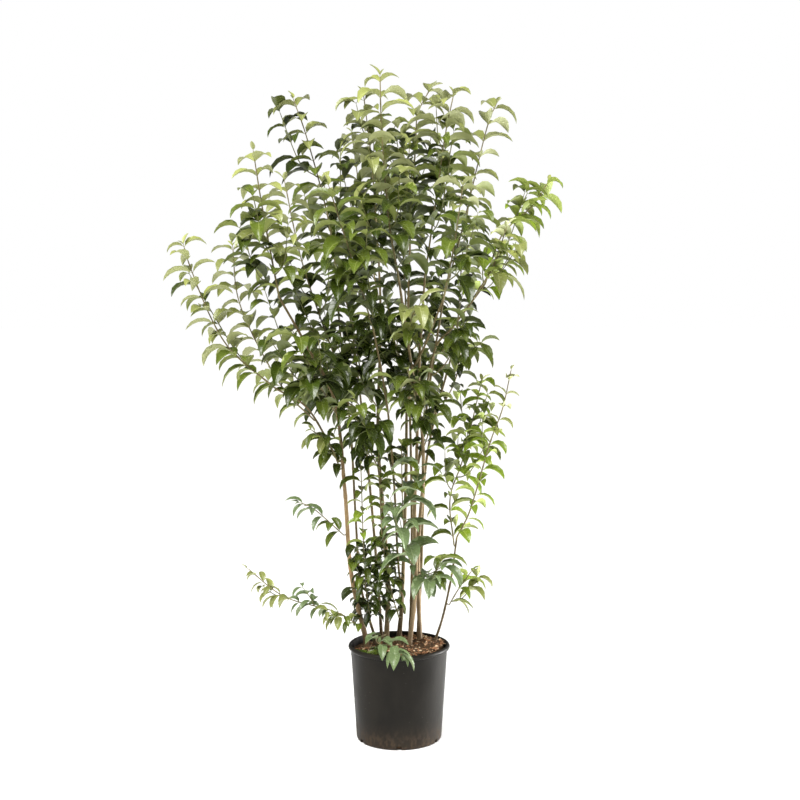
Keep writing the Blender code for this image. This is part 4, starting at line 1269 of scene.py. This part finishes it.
# %% Habits
# sprays grown for each spray of the solids, a spray's length near the twig's root and near its tip, how
# upright it is, the shares of the twig between which sprays stand, how much leaves shrink towards a tip, and
# the scales of leaves and of the spacing between them
Habit = namedtuple("Habit", "sprays longest shortest lift first last shrink size spacing")
HABITS = {
    "leader": Habit(0.60, 0.30, 0.16, 1.3, 0.04, 0.60, 0.20, 1.08, 1.00),
    "airy": Habit(0.35, 0.26, 0.14, 1.3, 0.04, 0.50, 0.20, 1.05, 1.15),
    "bushy": Habit(1.00, 0.17, 0.11, 0.9, 0.02, 0.50, 0.20, 1.08, 1.00),
    "broad": Habit(1.10, 0.25, 0.12, 1.0, 0.02, 0.78, 0.15, 1.08, 1.05),
    "crown": Habit(2.00, 0.20, 0.13, 0.8, 0.05, 0.85, 0.15, 1.12, 1.00),
    "skirt": Habit(1.40, 0.15, 0.10, 0.6, 0.05, 0.85, 0.10, 0.80, 1.00),
    "sparse": Habit(0.70, 0.11, 0.08, 1.2, 0.30, 0.85, 0.10, 0.76, 1.20),
    "shoot": Habit(0.35, 0.16, 0.12, 1.2, 0.30, 0.70, 0.25, 0.95, 1.20),
    "bush": Habit(2.30, 0.15, 0.11, 0.8, 0.32, 0.80, 0.15, 1.00, 1.10),
    "spray": Habit(1.40, 0.13, 0.09, 0.8, 0.10, 0.80, 0.15, 1.10, 1.00),
    "thicket": Habit(2.80, 0.12, 0.06, 0.3, 0.01, 0.48, -0.20, 0.95, 1.05),
    "trailer": Habit(2.00, 0.06, 0.05, 0.5, 0.55, 0.90, 0.00, 0.85, 0.60),
}
DARKER = {"young": "light", "light": "mid", "mid": "deep", "deep": "shade", "lime": "mid"}
LIGHTER = {"light": "young", "mid": "light", "deep": "mid", "shade": "deep"}
SPRAY_LUCK, LEAF_LUCK = (0.22, 0.16), (0.18, 0.12)  # chances of a darker and of a lighter tint


def tint_at(tints, share):
    """The tint at a share of the way from root to tip."""
    return tints[min(int(share * len(tints)), len(tints) - 1)]


def dealt_tint(tint, dice, chances):
    """A tint, or now and then the next darker or lighter one."""
    darker, lighter = chances
    luck = dice.random()
    if luck < darker:
        return DARKER.get(tint, tint)
    if luck > 1 - lighter:
        return LIGHTER.get(tint, tint)
    return tint


print("habits:", {habit: sum(mass.habit == habit for mass in MASSES.values()) for habit in HABITS})

# %% [markdown]
# ## Growing the masses
# Each mass grows on from its limb along its main twig. The twig carries leaf pairs up to a short bare tip
# with its bud. Side sprays leave it at the golden angle, so that no two stand above each other, and carry
# pairs of their own. A spray without room is tried shorter and steeper. Every mass has its own seeded dice,
# so a change to one leaves the others as they are.

# %% Grow the masses
SEED = 11
GOLDEN_ANGLE = math.radians(137.5)
TIP_LEAD = 0.02  # how far the main twig's tip stays above its side sprays
TWIG_TIP, SPRAY_ROOT, SPRAY_TIP = 0.0013, 0.0016, 0.0010  # radii
BARE_ROOT = 0.03  # a twig has no leaves nearer to its root, unless it is short
SHORT_TWIG_BARE, SHORT_SPRAY_BARE = 0.15, 0.2  # shares of the length
BARE_TIP = (0.008, 0.034)
SPRAY_BARE_TIP = 0.004
SPRAY_TRIES = ((1.0, 0.0), (0.7, 0.5), (0.45, 1.0))  # share of the length, added lift

twigs, grown = [], {tint: [] for tint in TINTS}


def spray_with_room(path, distance, turn, reach, lift, box):
    """A side spray, shorter and steeper where it has to be, or None."""
    for shorter, steeper in SPRAY_TRIES:
        spray = spray_path(path, distance, turn, reach * shorter, lift + steeper)
        below_tip = spray[-1].z < max(path[-1].z - TIP_LEAD, spray[0].z)
        if below_tip and has_room(spray[1:], box):
            return spray
    return None


def grow_mass(mass, box, dice, bud_tint):
    """Add one mass's twigs and leaves to the lists of what has grown."""
    habit = HABITS[mass.habit]
    tints = mass.tints.split()
    scale = mass.scale * habit.size
    spacing = habit.spacing * scale ** 0.5
    path = branch_path(limbs[mass.limb], mass.share, [Vector(point) for point in mass.route], TWIG_STEP)
    length = lengths_along(path)[-1]
    bare_tip = dice.uniform(*BARE_TIP)
    twigs.append((path, mass.thick / 2, TWIG_TIP, "bark"))
    pairs = leaf_pairs(path, min(BARE_ROOT, length * SHORT_TWIG_BARE), length - bare_tip,
                       INTERNODE * spacing, scale, box, dice, habit.shrink)
    # a leaf's tint by its place on the twig: darker towards the root inside the crown as painted shade, paler
    # at the tip as painted light
    for share, leaf in pairs:
        grown[tint_at(tints, share)].append(leaf)
    grown[bud_tint or tints[-1]] += tip_bud(path, scale, dice)
    turn = dice.uniform(0, 2 * math.pi)
    count = round(mass.sprays * habit.sprays)
    for k in range(count):
        turn += GOLDEN_ANGLE
        along = habit.first + (habit.last - habit.first) * (k + dice.uniform(0.2, 0.8)) / count
        reach = habit.longest + (habit.shortest - habit.longest) * k / count
        reach = reach * scale * dice.uniform(0.8, 1.1)
        spray = spray_with_room(path, length * along, turn, reach, habit.lift, box)
        if spray is None:
            continue
        twigs.append((spray, SPRAY_ROOT, SPRAY_TIP, "green"))
        tint = dealt_tint(tint_at(tints, along), dice, SPRAY_LUCK)
        reach = lengths_along(spray)[-1]
        pairs = leaf_pairs(spray, min(BARE_ROOT, reach * SHORT_SPRAY_BARE), reach - SPRAY_BARE_TIP,
                           SPRAY_INTERNODE * spacing, scale, box, dice, habit.shrink)
        for _, leaf in pairs:
            grown[dealt_tint(tint, dice, LEAF_LUCK)].append(leaf)


for i, (name, mass) in enumerate(MASSES.items()):
    bud_tint = "young" if name.startswith("leader") else None
    grow_mass(mass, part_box(name), random.Random(SEED * 1000 + i), bud_tint)
print("grown:", len(twigs), "twigs,", {tint: len(leaves) for tint, leaves in grown.items()})

# %% [markdown]
# ## Weeds
# Small weeds have seeded themselves on the left of the mulch. Each is a rosette of small leaves round one
# point. Their leaves are the same kind of numbers as the privet's, so they need no mesh or material of their
# own.

# %% Weeds
WEEDS = [  # x, y and how many leaves
    (-0.088, -0.045, 6), (-0.060, -0.072, 5), (-0.052, -0.020, 7), (-0.100, -0.012, 4), (-0.022, -0.088, 5),
]
WEED_SCALE = 0.42

dice = random.Random(SEED)
for x, y, count in WEEDS:
    root = Vector((x, y, soil_height(x, y) + 0.002))
    for k in range(count):
        turn = 2 * math.pi * k / count + dice.uniform(-0.4, 0.4)
        out = Vector((math.cos(turn), math.sin(turn), dice.uniform(0.7, 1.5))).normalized()
        leaf = Leaf(root, out, WEED_SCALE * dice.uniform(0.7, 1.2), dice)
        grown["deep" if k % 3 else "mid"].append(leaf)
print("weeds:", len(WEEDS), "with", sum(count for _, _, count in WEEDS), "leaves")

# %% [markdown]
# ## Twigs
# A twig is a thin tube that thickens a little at every joint and closes in a blunt bud. There are nearly two
# hundred, so they are worked out as rings of points and joined into two meshes, brown main twigs and green
# side sprays. That loads far faster than an object for each.

# %% Twig meshes
# name of the mesh, its material and the sides of its tubes
TWIG_KINDS = {"bark": ("main_twigs", twig_bark, 7), "green": ("green_sprays", green_twig, 6)}
TWIG_JOINT_SWELL = 0.25
JOINT_SHARPNESS = 8
BLUNT_TIP = 0.4


def twig_radii(path, root, tip):
    """A twig's radii: they taper to the tip and swell at every joint."""
    reached = lengths_along(path)
    radii = []
    for distance in reached:
        radius = root + (tip - root) * distance / reached[-1]
        joint = max(0.0, math.cos(2 * math.pi * distance / INTERNODE)) ** JOINT_SHARPNESS
        radii.append(radius * (1 + TWIG_JOINT_SWELL * joint))
    radii[-1] *= BLUNT_TIP
    return radii


def tube_arrays(path, radii, sides, first):
    """Rings of points round a path and the faces between them, closed at both ends."""
    angles = [2 * math.pi * k / sides for k in range(sides)]
    points = []
    side = path[1].cross(path[0]).orthogonal()
    for i, point in enumerate(path):
        ahead = (path[min(i + 1, len(path) - 1)] - path[max(i - 1, 0)]).normalized()
        side = (side - side.dot(ahead) * ahead).normalized()
        turn = ahead.cross(side)
        points += [point + radii[i] * (side * math.cos(a) + turn * math.sin(a)) for a in angles]
    faces = []
    last = first + (len(path) - 1) * sides
    for low in range(first, last, sides):
        for k in range(sides):
            after = (k + 1) % sides
            faces.append((low + k, low + after, low + sides + after, low + sides + k))
    faces += [tuple(range(first + sides - 1, first - 1, -1)), tuple(range(last, last + sides))]
    return points, faces


twig_pieces = []
for kind, (piece_name, material, sides) in TWIG_KINDS.items():
    points, faces = [], []
    for path, root, tip, twig_kind in twigs:
        if twig_kind == kind:
            new_points, new_faces = tube_arrays(path, twig_radii(path, root, tip), sides, len(points))
            points += new_points
            faces += new_faces
    twig_pieces.append(array_piece(piece_name, points, faces, material))
print("twigs:", {piece.name: len(piece.data.polygons) for piece in twig_pieces})

# %% [markdown]
# ## The shape of a leaf
# A leaf has a narrow stalk, a blade that is widest about its middle and a drawn-out point. Its midrib bends
# over in an arc, its halves are folded up along the midrib and slightly cupped, and it is rolled and curled
# sideways. Each of these is a short formula of the leaf's own numbers, so the points of all leaves of a tint
# are worked out at once, as arrays.

# %% Leaf shape
LEAF_OUTLINE = (  # share of the length, share of the half width
    (0.0, 0.05), (0.07, 0.08), (0.19, 0.66), (0.34, 0.97),
    (0.52, 0.98), (0.71, 0.76), (0.88, 0.34), (1.0, 0.01),
)
ACROSS = np.array((-1.0, -0.5, 0.0, 0.5, 1.0))
CUPPING = 1.5
ROLL_AT_STALK = 0.3
LEAF_THICKNESS = 0.0005


def leaf_numbers(leaves):
    """Each number of all the leaves as one column."""
    return {key: np.array([getattr(leaf, key) for leaf in leaves])[:, None]
            for key in ("yaw", "rise", "bend", "length", "half", "fold", "roll", "curl")}


def headings(value, share):
    """The way ahead and the level way aside at shares of each leaf's length."""
    pitch = value["rise"] - value["bend"] * share
    yaw = value["yaw"] + value["curl"] * share
    ahead = np.stack((np.cos(pitch) * np.cos(yaw), np.cos(pitch) * np.sin(yaw), np.sin(pitch)), axis=-1)
    side = np.stack((np.sin(yaw), -np.cos(yaw), np.zeros_like(yaw)), axis=-1)
    return ahead, side


def midribs(leaves, value, share):
    """Points along each midrib, in steps from its root that follow the bend."""
    ahead, _ = headings(value, (share[:-1] + share[1:]) / 2)
    steps = ahead * (value["length"] * np.diff(share))[..., None]
    roots = np.array([leaf.root for leaf in leaves])[:, None]
    return np.concatenate((roots, roots + np.cumsum(steps, axis=1)), axis=1)


def leaf_points(leaves):
    """The points of many leaves at once: the upper side's grid and the inner points of the underside."""
    share, widths = np.array(LEAF_OUTLINE).T
    value = leaf_numbers(leaves)
    ahead, side = headings(value, share)
    up = np.cross(side, ahead)
    roll = (value["roll"] * (ROLL_AT_STALK + (1 - ROLL_AT_STALK) * share))[..., None]
    side, up = side * np.cos(roll) + up * np.sin(roll), up * np.cos(roll) - side * np.sin(roll)
    half = (value["half"] * widths)[..., None]
    lateral = half * np.cos(value["fold"])[..., None] * ACROSS
    lift = half * np.sin(value["fold"])[..., None] * np.abs(ACROSS) ** CUPPING
    centre = midribs(leaves, value, share)
    top = centre[:, :, None] + side[:, :, None] * lateral[..., None] + up[:, :, None] * lift[..., None]
    under = top[:, 1:-1, 1:-1] - up[:, 1:-1, None] * LEAF_THICKNESS
    return np.concatenate((top.reshape(len(leaves), -1, 3), under.reshape(len(leaves), -1, 3)), axis=1)


print("leaf shape:", len(LEAF_OUTLINE), "rows of", len(ACROSS), "points")

# %% [markdown]
# ## The faces of a leaf
# Every leaf has the same faces between its points: an upper and an under side that share their edge, so
# that a leaf is a thin closed shell. The pattern is worked out once. The upper side lies on the left half of
# the leaf's UV map and the underside on the right half, as the leaf shading expects.

# %% Leaf faces
UPPER_LEFT, UNDER_LEFT, UV_WIDTH = 0.02, 0.52, 0.46


def leaf_pattern():
    """One leaf's faces, and the UV place of each of their corners."""
    rows, columns = len(LEAF_OUTLINE), len(ACROSS)

    def upper(i, j):
        return i * columns + j

    def under(i, j):
        inner = 0 < i < rows - 1 and 0 < j < columns - 1
        return rows * columns + (i - 1) * (columns - 2) + j - 1 if inner else upper(i, j)

    faces, uvs = [], []
    for i in range(rows - 1):
        for j in range(columns - 1):
            corners = ((i, j), (i, j + 1), (i + 1, j + 1), (i + 1, j))
            for number, left, turned in ((upper, UPPER_LEFT, corners), (under, UNDER_LEFT, corners[::-1])):
                faces.append([number(*corner) for corner in turned])
                uvs += [(left + UV_WIDTH * (ACROSS[b] + 1) / 2, LEAF_OUTLINE[a][0]) for a, b in turned]
    return np.array(faces), np.array(uvs)


pattern, pattern_uvs = leaf_pattern()
print("leaf pattern:", len(pattern), "faces")

# %% [markdown]
# ## Leaf meshes
# All leaves of a tint become one mesh: the pattern of faces is repeated for each leaf, shifted by the points
# that come before it. Seven meshes render and export far faster than nearly two thousand objects.

# %% Leaf meshes
leaf_pieces = []
for tint, leaves in grown.items():
    points = leaf_points(leaves)
    shift = np.arange(len(leaves))[:, None, None] * points.shape[1]
    points = points.reshape(-1, 3).tolist()
    faces = (pattern[None] + shift).reshape(-1, 4).tolist()
    uvs = np.tile(pattern_uvs, (len(leaves), 1))
    piece = array_piece("leaves_" + tint, points, faces, leaf_materials[tint], uvs)
    piece.data.set_sharp_from_angle(angle=math.radians(60))
    leaf_pieces.append(piece)
print("leaves:", sum(map(len, grown.values())), "in", {p.name: len(p.data.polygons) for p in leaf_pieces})

# %% [markdown]
# ## Hand over
# Every piece rides on the one body of this part, and the solids it stands for are hidden. The pot, compost
# and limbs each replace their own solids, and the twigs and leaves together replace the masses of foliage.

# %% Ride and replace
pieces = [
    (pot, ["pot"], "black_plastic"),
    (compost, ["potting_mix"], "bark_mulch"),
    *((piece, ["potting_mix"], "bark_mulch") for piece in chip_pieces),
    *((piece, names, "privet_bark") for piece, names in cane_pieces),
    (boughs, list(BOUGHS), "privet_bark"),
    *((piece, list(MASSES), "privet_leaf") for piece in (*twig_pieces, *leaf_pieces)),
]
for piece, nodes, slot in pieces:
    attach(piece, "root")
    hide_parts(*nodes)
